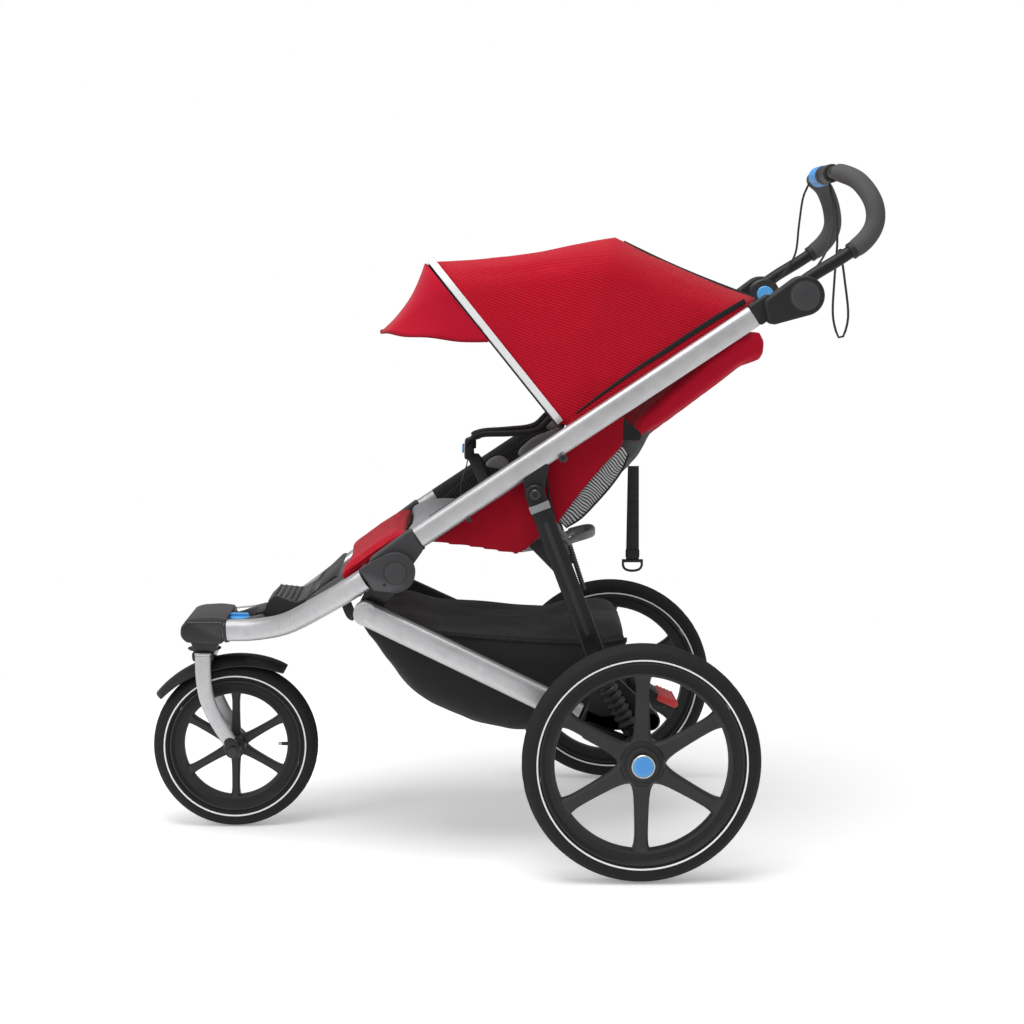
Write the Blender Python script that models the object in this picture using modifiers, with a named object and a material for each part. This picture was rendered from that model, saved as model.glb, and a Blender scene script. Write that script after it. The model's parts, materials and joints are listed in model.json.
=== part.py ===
"""Three-wheeled jogging stroller for Blender 4.5: metres, +Z up, travelling towards -X, left side at -Y.

Side-view places are pairs (x, z) counted from the ground under the rear axle. side() moves them to the
object's origin, which lies on the ground under the middle of the stroller.
"""

import math

import bmesh
import bpy
from mathutils import Matrix, Vector
from mathutils.geometry import convex_hull_2d

# Driving dimensions
GAP = 0.0003  # between pieces that touch
AXLE_X = 0.2158  # rear axle, from the origin
TRACK_Y = 0.315  # rear wheel plane, from the middle
REAR_WHEEL = {"tyre": 0.1995, "bead": 0.1710, "rim": 0.1460, "half_width": 0.0195}
FRONT_WHEEL = {"tyre": 0.1486, "bead": 0.1190, "rim": 0.0930, "half_width": 0.0185}
AXLE_R = 0.0060
BORE_R = 0.0068
TUBE_W, TUBE_H = 0.028, 0.038  # oval frame tube
TUBE_Y = 0.200  # middle of the upper tubes
STRUT_W, STRUT_H = 0.028, 0.042
SEAT_Y = 0.158  # half width of the seat cushion
BACK_Y = 0.146  # half width of the backrest

# Side-view places of the pivots
FRONT_AXLE = (-0.7057, 0.1486)
REAR_AXLE = (0.0, 0.1995)
STEER = (-0.763, 0.330)
FOLD_PIVOT = (-0.411, 0.499)
LOWER_PIVOT = (-0.462, 0.4255)
STRUT_TOP = (-0.176, 0.632)
STRUT_FOOT = (-0.0575, 0.3250)
ARM_PIVOT = (-0.085, 0.238)
SPRING_SEAT = (-0.016, 0.245)
CROSSBAR = (0.022, 0.250)
RECLINE_PIVOT = (-0.125, 0.575)
CANOPY_PIVOT = (-0.128, 0.738)
HANDLE_PIVOT = (0.277, 0.971)
STRUT_BAR = (-0.117, 0.520)
KNOB = (-0.700, 0.376)

# The straight upper tube, by its two ends
TUBE_LOW = (-0.3700, 0.5570)
TUBE_HIGH = (0.1950, 0.9356)


def side(place, y=0.0):
    return Vector((AXLE_X + place[0], y, place[1]))


def strip(start, along, near, far, low, high):
    """A rectangle (x, z) laid along a direction: near to far along it, low to high across it."""
    ahead = Vector(along).normalized()
    return [
        (start[0] + ahead.x * a - ahead.y * b, start[1] + ahead.y * a + ahead.x * b)
        for a, b in ((near, low), (far, low), (far, high), (near, high))
    ]


# --- scene, bodies and materials -------------------------------------------------------------------


def clear_scene():
    for obj in list(bpy.data.objects):
        bpy.data.objects.remove(obj, do_unlink=True)


def make_collection(name):
    made = bpy.data.collections.new(name)
    bpy.context.scene.collection.children.link(made)
    return made


clear_scene()
PARTS = make_collection("jogging_stroller")
CUTTERS = make_collection("cutters")
CUTTERS.hide_render = True

FINISHES = {
    # colour, roughness, metallic
    "silver": ((0.55, 0.56, 0.57), 0.38, 0.9),
    "dark_plastic": ((0.030, 0.031, 0.033), 0.45, 0.0),
    "black_metal": ((0.018, 0.018, 0.020), 0.40, 0.4),
    "wheel_black": ((0.020, 0.020, 0.022), 0.50, 0.0),
    "tyre": ((0.022, 0.022, 0.024), 0.75, 0.0),
    "blue": ((0.045, 0.300, 0.720), 0.35, 0.0),
    "red_fabric": ((0.460, 0.012, 0.035), 0.85, 0.0),
    "charcoal": ((0.038, 0.037, 0.038), 0.90, 0.0),
    "grip_foam": ((0.050, 0.050, 0.052), 0.85, 0.0),
    "red_plastic": ((0.600, 0.020, 0.020), 0.40, 0.0),
    "cord": ((0.015, 0.015, 0.016), 0.60, 0.0),
    "steel": ((0.500, 0.500, 0.520), 0.30, 1.0),
    "grey_plastic": ((0.180, 0.185, 0.190), 0.50, 0.0),
}


def make_material(name):
    colour, roughness, metallic = FINISHES[name]
    made = bpy.data.materials.new(name)
    made.use_nodes = True
    shader = made.node_tree.nodes["Principled BSDF"]
    shader.inputs["Base Color"].default_value = (*colour, 1.0)
    shader.inputs["Roughness"].default_value = roughness
    shader.inputs["Metallic"].default_value = metallic
    made.diffuse_color = (*colour, 1.0)
    return made


MATERIALS = {name: make_material(name) for name in FINISHES}


def make_body(name, place, y=0.0, parent=None):
    """An empty on the body's joint, which carries the body's pieces."""
    empty = bpy.data.objects.new("body_" + name, None)
    PARTS.objects.link(empty)
    empty.matrix_world = Matrix.Translation(side(place, y))
    if parent:
        attach(empty, parent)
    return empty


def attach(obj, parent):
    bpy.context.view_layer.update()
    world = obj.matrix_world.copy()
    obj.parent = parent
    obj.matrix_parent_inverse = parent.matrix_world.inverted()
    obj.matrix_world = world


def add_piece(name, data, finish, body):
    """A named piece whose data is in world places, with its origin moved onto the body's joint."""
    obj = bpy.data.objects.new(name, data)
    pivot = body.matrix_world.translation if body else Vector()
    data.transform(Matrix.Translation(-pivot))
    obj.location = pivot
    data.materials.append(MATERIALS[finish])
    (PARTS if body else CUTTERS).objects.link(obj)
    if body:
        attach(obj, body)
    else:
        obj.hide_render = True
        obj.display_type = "WIRE"
    return obj


def add_boolean(obj, other, operation):
    modifier = obj.modifiers.new(operation.lower(), "BOOLEAN")
    modifier.operation = operation
    modifier.solver = "EXACT"
    modifier.object = other
    return modifier


def join(obj, *others):
    for other in others:
        add_boolean(obj, other, "UNION")
    return obj


def cut(obj, *cutters):
    for cutter in cutters:
        add_boolean(obj, cutter, "DIFFERENCE")
    return obj


# --- shapes: each returns mesh or curve data in world places ------------------------------------------


def mesh_from(build, name):
    made = bmesh.new()
    build(made)
    bmesh.ops.recalc_face_normals(made, faces=made.faces)
    mesh = bpy.data.meshes.new(name)
    made.to_mesh(mesh)
    made.free()
    return mesh


def smooth(mesh, angle=40):
    mesh.shade_smooth()
    mesh.set_sharp_from_angle(angle=math.radians(angle))
    return mesh


def rod(start, end, radius, sides=20, end_radius=None):
    """A round bar between two places, which may taper."""
    start, end = Vector(start), Vector(end)
    along = end - start
    turn = along.to_track_quat("Z", "Y").to_matrix().to_4x4()
    place = Matrix.Translation((start + end) / 2) @ turn

    def build(made):
        bmesh.ops.create_cone(
            made,
            cap_ends=True,
            segments=sides,
            radius1=radius,
            radius2=radius if end_radius is None else end_radius,
            depth=along.length,
            matrix=place,
        )

    return smooth(mesh_from(build, "rod"))


def box(low, high):
    low, high = Vector(low), Vector(high)
    size = Matrix.Diagonal((*(high - low), 1.0))

    def build(made):
        bmesh.ops.create_cube(made, size=1.0, matrix=Matrix.Translation((low + high) / 2) @ size)

    return mesh_from(build, "box")


def disc_hull(*discs, sides=20):
    """The outline around discs (x, z, radius), as side-view places."""
    points = []
    for x, z, radius in discs:
        for step in range(sides):
            turn = 2 * math.pi * step / sides
            points.append(Vector((x + radius * math.cos(turn), z + radius * math.sin(turn))))
    return [(points[i].x, points[i].y) for i in convex_hull_2d(points)]


def plate(outline, y_low, y_high):
    """A flat outline with a thickness across the stroller, as a mesh."""
    curve = bpy.data.curves.new("plate", "CURVE")
    curve.dimensions = "2D"
    curve.fill_mode = "BOTH"
    curve.extrude = abs(y_high - y_low) / 2
    spline = curve.splines.new("POLY")
    spline.points.add(len(outline) - 1)
    for point, (x, z) in zip(spline.points, outline):
        point.co = (AXLE_X + x, z, 0.0, 1.0)
    spline.use_cyclic_u = True
    stand_up = Matrix.Rotation(math.radians(90), 4, "X")
    middle = Matrix.Translation((0.0, (y_low + y_high) / 2, 0.0))
    return as_mesh(curve, middle @ stand_up)


def as_mesh(curve, matrix=None):
    """A curve turned into a closed mesh with its caps welded on."""
    helper = bpy.data.objects.new("helper", curve)
    bpy.context.scene.collection.objects.link(helper)
    graph = bpy.context.evaluated_depsgraph_get()
    mesh = bpy.data.meshes.new_from_object(helper.evaluated_get(graph))
    bpy.data.objects.remove(helper, do_unlink=True)
    mesh.transform(matrix or Matrix())
    made = bmesh.new()
    made.from_mesh(mesh)
    bmesh.ops.remove_doubles(made, verts=made.verts, dist=1e-6)
    bmesh.ops.recalc_face_normals(made, faces=made.faces)
    made.to_mesh(mesh)
    made.free()
    return smooth(mesh)


def oval_section(width, height, sides):
    """The closed section that oval tubes are swept with."""
    section = bpy.data.curves.new("section", "CURVE")
    section.dimensions = "2D"
    spline = section.splines.new("POLY")
    spline.points.add(sides - 1)
    power = 0.7  # below 1, the oval is squarer than an ellipse
    for step, point in enumerate(spline.points):
        turn = 2 * math.pi * (step + 0.5) / sides
        across, up = math.cos(turn), math.sin(turn)
        across = math.copysign(abs(across) ** power, across)
        up = math.copysign(abs(up) ** power, up)
        point.co = (across * width / 2, up * height / 2, 0.0, 1.0)
    spline.use_cyclic_u = True
    holder = bpy.data.objects.new("section", section)
    CUTTERS.objects.link(holder)
    holder.hide_render = True
    holder.display_type = "WIRE"
    return holder


def swept(points, section=None, radius=0.0, resolution=4, roundness=3, straight=False):
    """A tube along a smooth line through its points, round or with a section."""
    curve = bpy.data.curves.new("tube", "CURVE")
    curve.dimensions = "3D"
    curve.twist_mode = "Z_UP" if section else "MINIMUM"
    curve.use_fill_caps = True
    curve.resolution_u = resolution
    if section:
        curve.bevel_mode = "OBJECT"
        curve.bevel_object = section
    else:
        curve.bevel_depth = radius
        curve.bevel_resolution = roundness
    if straight:
        spline = curve.splines.new("POLY")
        spline.points.add(len(points) - 1)
        for point, place in zip(spline.points, points):
            point.co = (*place, 1.0)
    else:
        spline = curve.splines.new("BEZIER")
        spline.bezier_points.add(len(points) - 1)
        for point, place in zip(spline.bezier_points, points):
            point.co = place
            point.handle_left_type = point.handle_right_type = "AUTO"
    return as_mesh(curve)


def smooth_route(points, step):
    """Places every step along a smooth line through hand-chosen points (a Catmull-Rom spline)."""
    points = [Vector(p) for p in points]
    ends = [2 * points[0] - points[1], *points, 2 * points[-1] - points[-2]]
    fine = []
    for a, b, c, d in zip(ends, ends[1:], ends[2:], ends[3:]):
        for i in range(20):
            t = i / 20
            fine.append(
                0.5 * (2 * b + (c - a) * t + (2 * a - 5 * b + 4 * c - d) * t**2
                       + (3 * b - 3 * c + d - a) * t**3)
            )
    fine.append(points[-1])
    lengths = [0.0]
    for a, b in zip(fine, fine[1:]):
        lengths.append(lengths[-1] + (b - a).length)
    count = max(2, round(lengths[-1] / step))
    route, at = [], 0
    for i in range(count + 1):
        wanted = lengths[-1] * i / count
        while at < len(fine) - 2 and lengths[at + 1] < wanted:
            at += 1
        share = (wanted - lengths[at]) / max(lengths[at + 1] - lengths[at], 1e-9)
        route.append(fine[at].lerp(fine[at + 1], min(share, 1.0)))
    return route


def turned(profile, centre, steps, closed, outward=1):
    """Screw data for a profile (radius, offset) around an axis along Y, as a mesh with world places."""
    mesh = bpy.data.meshes.new("turned")
    count = len(profile)
    edges = [(i, i + 1) for i in range(count - 1)] + ([(count - 1, 0)] if closed else [])
    mesh.from_pydata([(r, 0.0, h) for r, h in profile], edges, [])
    helper = bpy.data.objects.new("helper", mesh)
    bpy.context.scene.collection.objects.link(helper)
    screw = helper.modifiers.new("screw", "SCREW")
    screw.steps = screw.render_steps = steps
    screw.use_merge_vertices = True
    screw.merge_threshold = 1e-5
    graph = bpy.context.evaluated_depsgraph_get()
    made = bpy.data.meshes.new_from_object(helper.evaluated_get(graph))
    bpy.data.objects.remove(helper, do_unlink=True)
    lay_over = Matrix.Rotation(math.radians(-90 * outward), 4, "X")
    made.transform(Matrix.Translation(centre) @ lay_over)
    fixed = bmesh.new()
    fixed.from_mesh(made)
    bmesh.ops.recalc_face_normals(fixed, faces=fixed.faces)
    fixed.to_mesh(made)
    fixed.free()
    return smooth(made)


def loft(sections):
    """A closed skin through sections that have equally many points, as open strips with end caps."""
    count = len(sections[0])

    def build(made):
        rings = [[made.verts.new(p) for p in section] for section in sections]
        for ring, after in zip(rings, rings[1:]):
            for i in range(count):
                j = (i + 1) % count
                made.faces.new((ring[i], ring[j], after[j], after[i]))
        made.faces.new(rings[0])
        made.faces.new(rings[-1])

    return smooth(mesh_from(build, "loft"))


def sheet(rows, thickness):
    """A thin shell over a grid of places, thickened inwards on both sides of the grid."""

    def build(made):
        grid = [[made.verts.new(p) for p in row] for row in rows]
        for row, after in zip(grid, grid[1:]):
            for i in range(len(row) - 1):
                made.faces.new((row[i], row[i + 1], after[i + 1], after[i]))

    mesh = mesh_from(build, "sheet")
    helper = bpy.data.objects.new("helper", mesh)
    bpy.context.scene.collection.objects.link(helper)
    solid = helper.modifiers.new("solid", "SOLIDIFY")
    solid.thickness = thickness
    solid.offset = 0.0
    graph = bpy.context.evaluated_depsgraph_get()
    made = bpy.data.meshes.new_from_object(helper.evaluated_get(graph))
    bpy.data.objects.remove(helper, do_unlink=True)
    return smooth(made)


def spokes(centre, inner, outer, width_in, width_out, thickness, count=6):
    """Tapered spokes around an axis along Y."""

    def build(made):
        for step in range(count):
            turn = Matrix.Rotation(2 * math.pi * step / count, 4, "Y")
            cube = bmesh.ops.create_cube(made, size=1.0)["verts"]
            for vert in cube:
                width = width_out if vert.co.z > 0 else width_in
                radius = outer if vert.co.z > 0 else inner
                local = Vector((vert.co.x * width, vert.co.y * thickness, radius))
                vert.co = Vector(centre) + turn @ local

    return mesh_from(build, "spokes")


# --- bodies ------------------------------------------------------------------------------------------

SIDES = {"l": -1, "r": 1}

front_frame = make_body("front_frame", (-AXLE_X, 0.0))
swivel_lock = make_body("swivel_lock", KNOB, parent=front_frame)
fork = make_body("fork", STEER, parent=front_frame)
front_wheel = make_body("front_wheel", FRONT_AXLE, parent=fork)
upper_frame = make_body("upper_frame", FOLD_PIVOT, parent=front_frame)
rear_frame = make_body("rear_frame", LOWER_PIVOT, parent=front_frame)
rear_struts = make_body("rear_struts", STRUT_FOOT, parent=rear_frame)
fold_loop = make_body("fold_loop", STRUT_BAR, parent=rear_struts)
brake = make_body("brake", CROSSBAR, parent=rear_frame)
backrest = make_body("backrest", RECLINE_PIVOT, parent=upper_frame)
front_bow = make_body("front_bow", CANOPY_PIVOT, parent=upper_frame)
middle_bow = make_body("middle_bow", CANOPY_PIVOT, parent=upper_frame)
handle = make_body("handle", HANDLE_PIVOT, parent=upper_frame)
BAR_TOP = (0.352, 1.187)  # middle of the handlebar
twist = make_body("twist", BAR_TOP, parent=handle)


# --- frame -------------------------------------------------------------------------------------------

# Front tube: out from the head casting, then up to the fold hinge. (x, half distance, z)
FRONT_TUBE = [
    (-0.7185, 0.0590, 0.3675),
    (-0.6600, 0.0760, 0.3730),
    (-0.6000, 0.1120, 0.3920),
    (-0.5300, 0.1650, 0.4370),
    (-0.4900, 0.1880, 0.4640),
    (-0.4620, 0.1980, 0.4838),
]
FRONT_TUBE_END = (-0.4620, 0.4838)
FRONT_TUBE_ALONG = (0.8170, 0.5770)
UPPER_TUBE_ALONG = (TUBE_HIGH[0] - TUBE_LOW[0], TUBE_HIGH[1] - TUBE_LOW[1])


def make_front_frame():
    section = oval_section(TUBE_W, TUBE_H, 12)
    for key, sign in SIDES.items():
        points = [side((x, z), sign * y) for x, y, z in FRONT_TUBE]
        add_piece("front_tube_" + key, swept(points, section, resolution=2), "silver", front_frame)
        make_hinge_housing(key, sign)
    make_head()
    make_footrest()


def across(sign, near, far):
    """The interval from near to far from the middle, on one side, low end first."""
    return sorted((sign * near, sign * far))


def make_hinge_housing(key, sign):
    """End bracket of the front tube with two cheeks around the fold pivot."""
    x, z = FOLD_PIVOT
    bracket = strip(FRONT_TUBE_END, FRONT_TUBE_ALONG, 0.0046, 0.0140, -0.0210, 0.0210)
    corners = [(a, b, 0.0003) for a, b in bracket]
    disc = disc_hull((x, z, 0.034), *corners)
    inner = disc_hull((x, z, 0.030), (*LOWER_PIVOT, 0.0165))
    cheek = plate(disc, *across(sign, 0.2160, 0.2300))
    outer = add_piece("cheek_outer_" + key, cheek, "dark_plastic", None)
    link = plate(inner, *across(sign, 0.1690, 0.1790))
    web = add_piece("cheek_web_" + key, link, "dark_plastic", None)
    pin = rod(side(LOWER_PIVOT, sign * 0.1750), side(LOWER_PIVOT, sign * 0.1960), 0.0060, 12)
    stub = add_piece("lower_pin_" + key, pin, "dark_plastic", None)
    housing = add_piece(
        "hinge_housing_" + key, plate(bracket, *across(sign, 0.1700, 0.2290)), "dark_plastic", front_frame
    )
    join(housing, outer, web, stub)


def make_head():
    """Glossy casting that holds the steering bearing, with the two front tubes plugged into its back."""
    outline = [
        (-0.7960, 0.3480), (-0.7900, 0.3260), (-0.7330, 0.3240), (-0.7240, 0.3440),
        (-0.7240, 0.3900), (-0.7400, 0.3935), (-0.7860, 0.3880), (-0.7960, 0.3780),
    ]
    head = add_piece("head_casting", plate(outline, -0.0720, 0.0720), "black_metal", front_frame)
    wedge = [(-0.7300, 0.3500), (-0.6780, 0.3530), (-0.6760, 0.3740), (-0.7300, 0.3760)]
    tongue = plate(wedge, -0.0400, 0.0400)
    join(head, add_piece("head_tongue", tongue, "black_metal", None))
    bearing = rod(side((STEER[0], 0.3200)), side((STEER[0], 0.3780)), 0.0160, 24)
    cut(head, add_piece("head_bore", bearing, "black_metal", None))
    knob = rod(side(KNOB) + Vector((0, 0, 0.0003)), side(KNOB) + Vector((0, 0, 0.0120)), 0.0200, 20, 0.0170)
    grip = box(side((KNOB[0] - 0.0190, 0.3860), -0.0035), side((KNOB[0] + 0.0190, 0.3935), 0.0035))
    piece = add_piece("swivel_knob", knob, "blue", swivel_lock)
    join(piece, add_piece("swivel_grip", grip, "blue", None))


def make_footrest():
    """Step between the front tubes, wider towards the seat, with a raised block at its middle."""
    outline = [
        (-0.6680, 0.3960), (-0.6420, 0.4000), (-0.6360, 0.4400), (-0.5850, 0.4480), (-0.5650, 0.4560),
        (-0.5200, 0.4860), (-0.5120, 0.4770), (-0.5560, 0.4460), (-0.5900, 0.4060), (-0.6400, 0.3880),
        (-0.6680, 0.3860),
    ]
    mesh = plate(outline, -1.0, 1.0)
    for vert in mesh.vertices:
        x = vert.co.x - AXLE_X
        vert.co.y *= 0.0360 + 0.62 * (x + 0.6680)
    add_piece("footrest", mesh, "dark_plastic", front_frame)


# --- front fork and wheel ------------------------------------------------------------------------------

FORK_Y = 0.0425
FORK_LEG = [(-0.7660, 0.3130), (-0.7640, 0.2800), (-0.7560, 0.2400), (-0.7380, 0.1980), (-0.7057, 0.1486)]


def make_fork():
    outline = [
        (-0.7860, 0.3060), (-0.7440, 0.3060), (-0.7400, 0.3120),
        (-0.7440, 0.3225), (-0.7860, 0.3225), (-0.7900, 0.3120),
    ]
    piece = add_piece("fork_crown", plate(outline, -0.0360, 0.0360), "black_metal", fork)
    steerer = rod(side((STEER[0], 0.3180)), side((STEER[0], 0.3740)), 0.0150, 20)
    join(piece, add_piece("steerer", steerer, "steel", None))
    for key, sign in SIDES.items():
        points = [side(place, sign * FORK_Y) for place in FORK_LEG]
        leg = add_piece("fork_leg_" + key, upright_tube(points, 0.0120, 0.0270), "silver", fork)
        boss = rod(side(FRONT_AXLE, sign * 0.0365), side(FRONT_AXLE, sign * 0.0500), 0.0150, 20)
        join(leg, add_piece("fork_boss_" + key, boss, "silver", None))
        hole = rod(side(FRONT_AXLE, sign * 0.0300), side(FRONT_AXLE, sign * 0.0600), AXLE_R + GAP, 20)
        cut(leg, add_piece("fork_hole_" + key, hole, "silver", None))
    make_fender()
    axle = rod(side(FRONT_AXLE, -0.0560), side(FRONT_AXLE, 0.0560), AXLE_R, 16)
    piece = add_piece("front_axle", axle, "steel", fork)
    for sign in SIDES.values():
        nut = rod(side(FRONT_AXLE, sign * 0.0504), side(FRONT_AXLE, sign * 0.0590), 0.0100, 12)
        join(piece, add_piece("axle_nut", nut, "steel", None))


def upright_tube(points, width, depth):
    """A flattened bar in one plane along the stroller: width across, depth along its own bend."""
    sections = []
    for i, point in enumerate(points):
        before, after = points[max(i - 1, 0)], points[min(i + 1, len(points) - 1)]
        along = (after - before).normalized()
        normal = Vector((-along.z, 0.0, along.x))
        ring = []
        for step in range(10):
            turn = 2 * math.pi * step / 10
            ring.append(
                point + normal * (depth / 2 * math.cos(turn)) + Vector((0, width / 2 * math.sin(turn), 0))
            )
        sections.append(ring)
    return loft(sections)


def make_fender():
    """Mudguard: an arched strip that follows the front tyre."""
    inner, thickness, half = 0.1570, 0.0075, 0.0270
    rows = []
    for step in range(15):
        turn = math.radians(57 + (147 - 57) * step / 14)
        row = []
        for share, drop in ((-1.0, 0.0060), (-0.75, 0.0010), (0.0, 0.0), (0.75, 0.0010), (1.0, 0.0060)):
            radius = inner + thickness / 2 - drop
            place = (FRONT_AXLE[0] + radius * math.cos(turn), FRONT_AXLE[1] + radius * math.sin(turn))
            row.append(side(place, share * half))
        rows.append(row)
    add_piece("front_fender", sheet(rows, 0.0030), "dark_plastic", fork)


def make_wheel(name, centre, size, hub, body, hub_r, outward, steps):
    """Tyre, and a one-piece rim with hub and spokes. hub is the pair of its ends, from the wheel plane."""
    bead, half = size["bead"], size["half_width"]
    middle = size["tyre"] - half
    tyre = [(bead, half * 0.72)]
    for step in range(9):
        turn = math.radians(115 - 230 * step / 8)
        tyre.append((middle + half * math.cos(turn), half * math.sin(turn)))
    tyre.append((bead, -half * 0.72))
    add_piece("tyre_" + name, turned(tyre, centre, steps, True), "tyre", body)
    rim_half = half * 0.70
    rim_in = size["rim"]
    rim = [
        (rim_in, rim_half * 0.80), (rim_in + 0.004, rim_half), (bead - GAP, rim_half),
        (bead - GAP, -rim_half), (rim_in + 0.004, -rim_half), (rim_in, -rim_half * 0.80),
    ]
    piece = add_piece("rim_" + name, turned(rim, centre, steps, True), "wheel_black", body)
    low, high = hub
    hub_profile = [(BORE_R, high), (hub_r * 0.80, high), (hub_r, high - 0.006), (hub_r, low + 0.006),
                   (hub_r * 0.80, low), (BORE_R, low)]
    barrel = turned(hub_profile, centre, 24, True, outward)
    join(piece, add_piece("hub_" + name, barrel, "wheel_black", None))
    arms = spokes(centre, hub_r - 0.006, rim_in + 0.006, hub_r * 0.72, hub_r * 0.50, rim_half * 1.5)
    join(piece, add_piece("spokes_" + name, arms, "wheel_black", None))


# --- upper frame ---------------------------------------------------------------------------------------


def make_upper_frame():
    section = oval_section(TUBE_W, TUBE_H, 12)
    for key, sign in SIDES.items():
        ends = [side(TUBE_LOW, sign * TUBE_Y), side(TUBE_HIGH, sign * TUBE_Y)]
        add_piece("upper_tube_" + key, swept(ends, section, straight=True), "silver", upper_frame)
        make_knuckle(key, sign)
        make_strut_bracket(key, sign)
        make_handle_housing(key, sign)


def make_knuckle(key, sign):
    """End of the upper tube at the fold hinge: a block in line with the tube, and a tongue on the pivot."""
    x, z = FOLD_PIVOT
    tube_end = strip(TUBE_LOW, UPPER_TUBE_ALONG, -0.0010, -GAP, -0.0200, 0.0200)
    block = [
        (-0.4440, 0.4843), (-0.4588, 0.5055), (-0.4520, 0.5240),
        tube_end[2], tube_end[1], (-0.3850, 0.5050),
    ]
    width = across(sign, 0.1845, 0.2155)
    piece = add_piece("hinge_knuckle_" + key, plate(block, *width), "dark_plastic", upper_frame)
    tongue = plate(disc_hull((x, z, 0.0290)), *width)
    join(piece, add_piece("knuckle_tongue_" + key, tongue, "dark_plastic", None))


def make_strut_bracket(key, sign):
    """Lug under the upper tube, with the boss that the top of the rear strut turns against."""
    x, z = STRUT_TOP
    lug = plate(disc_hull((x, z, 0.0150), (x - 0.014, z + 0.024, 0.0060), (x + 0.018, z + 0.0455, 0.0060)),
                *across(sign, 0.1875, 0.2120))
    piece = add_piece("strut_bracket_" + key, lug, "dark_plastic", upper_frame)
    boss = rod(side((x, z), sign * 0.2110), side((x, z), sign * 0.2160), 0.0120, 16)
    join(piece, add_piece("strut_boss_" + key, boss, "dark_plastic", None))
    tube = swept([side(TUBE_LOW, sign * TUBE_Y), side(TUBE_HIGH, sign * TUBE_Y)],
                 oval_section(TUBE_W + 2 * GAP, TUBE_H + 2 * GAP, 12), straight=True)
    cut(piece, add_piece("tube_room_" + key, tube, "silver", None))


def make_handle_housing(key, sign):
    """End piece of the upper tube, with the disc that the handlebar turns on."""
    x, z = HANDLE_PIVOT
    arm = disc_hull((0.2220, 0.9560, 0.0130), (0.2260, 0.9330, 0.0110), (x, z, 0.0340))
    shell = plate(arm, *across(sign, 0.1950, 0.2320))
    piece = add_piece("handle_housing_" + key, shell, "dark_plastic", upper_frame)
    reach = strip(TUBE_HIGH, UPPER_TUBE_ALONG, GAP, 0.0400, -0.0190, 0.0190)
    socket = plate(reach, *across(sign, 0.1860, 0.2150))
    join(piece, add_piece("housing_socket_" + key, socket, "dark_plastic", None))


# --- rear frame ----------------------------------------------------------------------------------------

STRUT_END = (-0.098, 0.2545)  # rear end of the lower strut tube
LOWER_FRONT_Y, LOWER_REAR_Y = 0.2000, 0.2220


def make_rear_frame():
    section = oval_section(STRUT_W, STRUT_H, 12)
    for key, sign in SIDES.items():
        ends = [side(LOWER_PIVOT, sign * LOWER_FRONT_Y), side(STRUT_END, sign * LOWER_REAR_Y)]
        tube = add_piece("lower_strut_" + key, swept(ends, section, straight=True), "silver", rear_frame)
        eye = plate(disc_hull((*LOWER_PIVOT, 0.0205)), *across(sign, 0.1870, 0.2130))
        join(tube, add_piece("strut_eye_" + key, eye, "silver", None))
        hole = rod(side(LOWER_PIVOT, sign * 0.1840), side(LOWER_PIVOT, sign * 0.1970), 0.0065, 12)
        cut(tube, add_piece("strut_eye_hole_" + key, hole, "silver", None))
    make_yoke()
    make_basket()


def make_yoke():
    """Cross tube between the lower struts, with the carriers for the swing arms and strut feet."""
    bar = rod(side(CROSSBAR, -0.2260), side(CROSSBAR, 0.2260), 0.0125, 20)
    yoke = add_piece("rear_yoke", bar, "black_metal", rear_frame)
    x, z = STRUT_FOOT
    for key, sign in SIDES.items():
        along = (STRUT_END[0] - LOWER_PIVOT[0], STRUT_END[1] - LOWER_PIVOT[1])
        socket = strip(STRUT_END, along, 0.0022, 0.0330, -0.0210, 0.0210)
        block = plate(socket, *across(sign, 0.2060, 0.2430))
        behind = (STRUT_END[0] + 0.0190, STRUT_END[1] - 0.0070, 0.0120)
        wing_outline = disc_hull((x, z, 0.0150), behind, (*CROSSBAR, 0.0165))
        wing = plate(wing_outline, *across(sign, 0.2312, 0.2430))
        web = plate(disc_hull(behind, (*CROSSBAR, 0.0165)), *across(sign, 0.2060, 0.2430))
        foot_pin = rod(side(STRUT_FOOT, sign * 0.2200), side(STRUT_FOOT, sign * 0.2400), 0.0055, 14)
        cap = rod(boot_place(sign, -0.0120), boot_place(sign, -GAP), 0.0135, 16)
        across_boot = Vector((0.0, sign * 0.0220, 0.0))
        neck = rod(boot_place(sign, -0.0065) - across_boot, boot_place(sign, -0.0065), 0.0060, 12)
        arm_pin = rod(side(ARM_PIVOT, sign * 0.2400), side(ARM_PIVOT, sign * 0.2700), 0.0060, 14)
        for label, mesh in (("block", block), ("wing", wing), ("web", web), ("foot_pin", foot_pin),
                            ("cap", cap), ("neck", neck), ("arm_pin", arm_pin)):
            join(yoke, add_piece(f"yoke_{label}_{key}", mesh, "black_metal", None))


BOOT_Y = 0.2625
BOOT_TOP = (-0.0555, 0.3170)
BOOT_R = 0.0172


def boot_place(sign, along):
    """A place on the spring's axis, counted from the top of its boot downwards."""
    top, foot = side(BOOT_TOP, sign * BOOT_Y), side(SPRING_SEAT, sign * BOOT_Y)
    return top + (foot - top).normalized() * along


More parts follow.
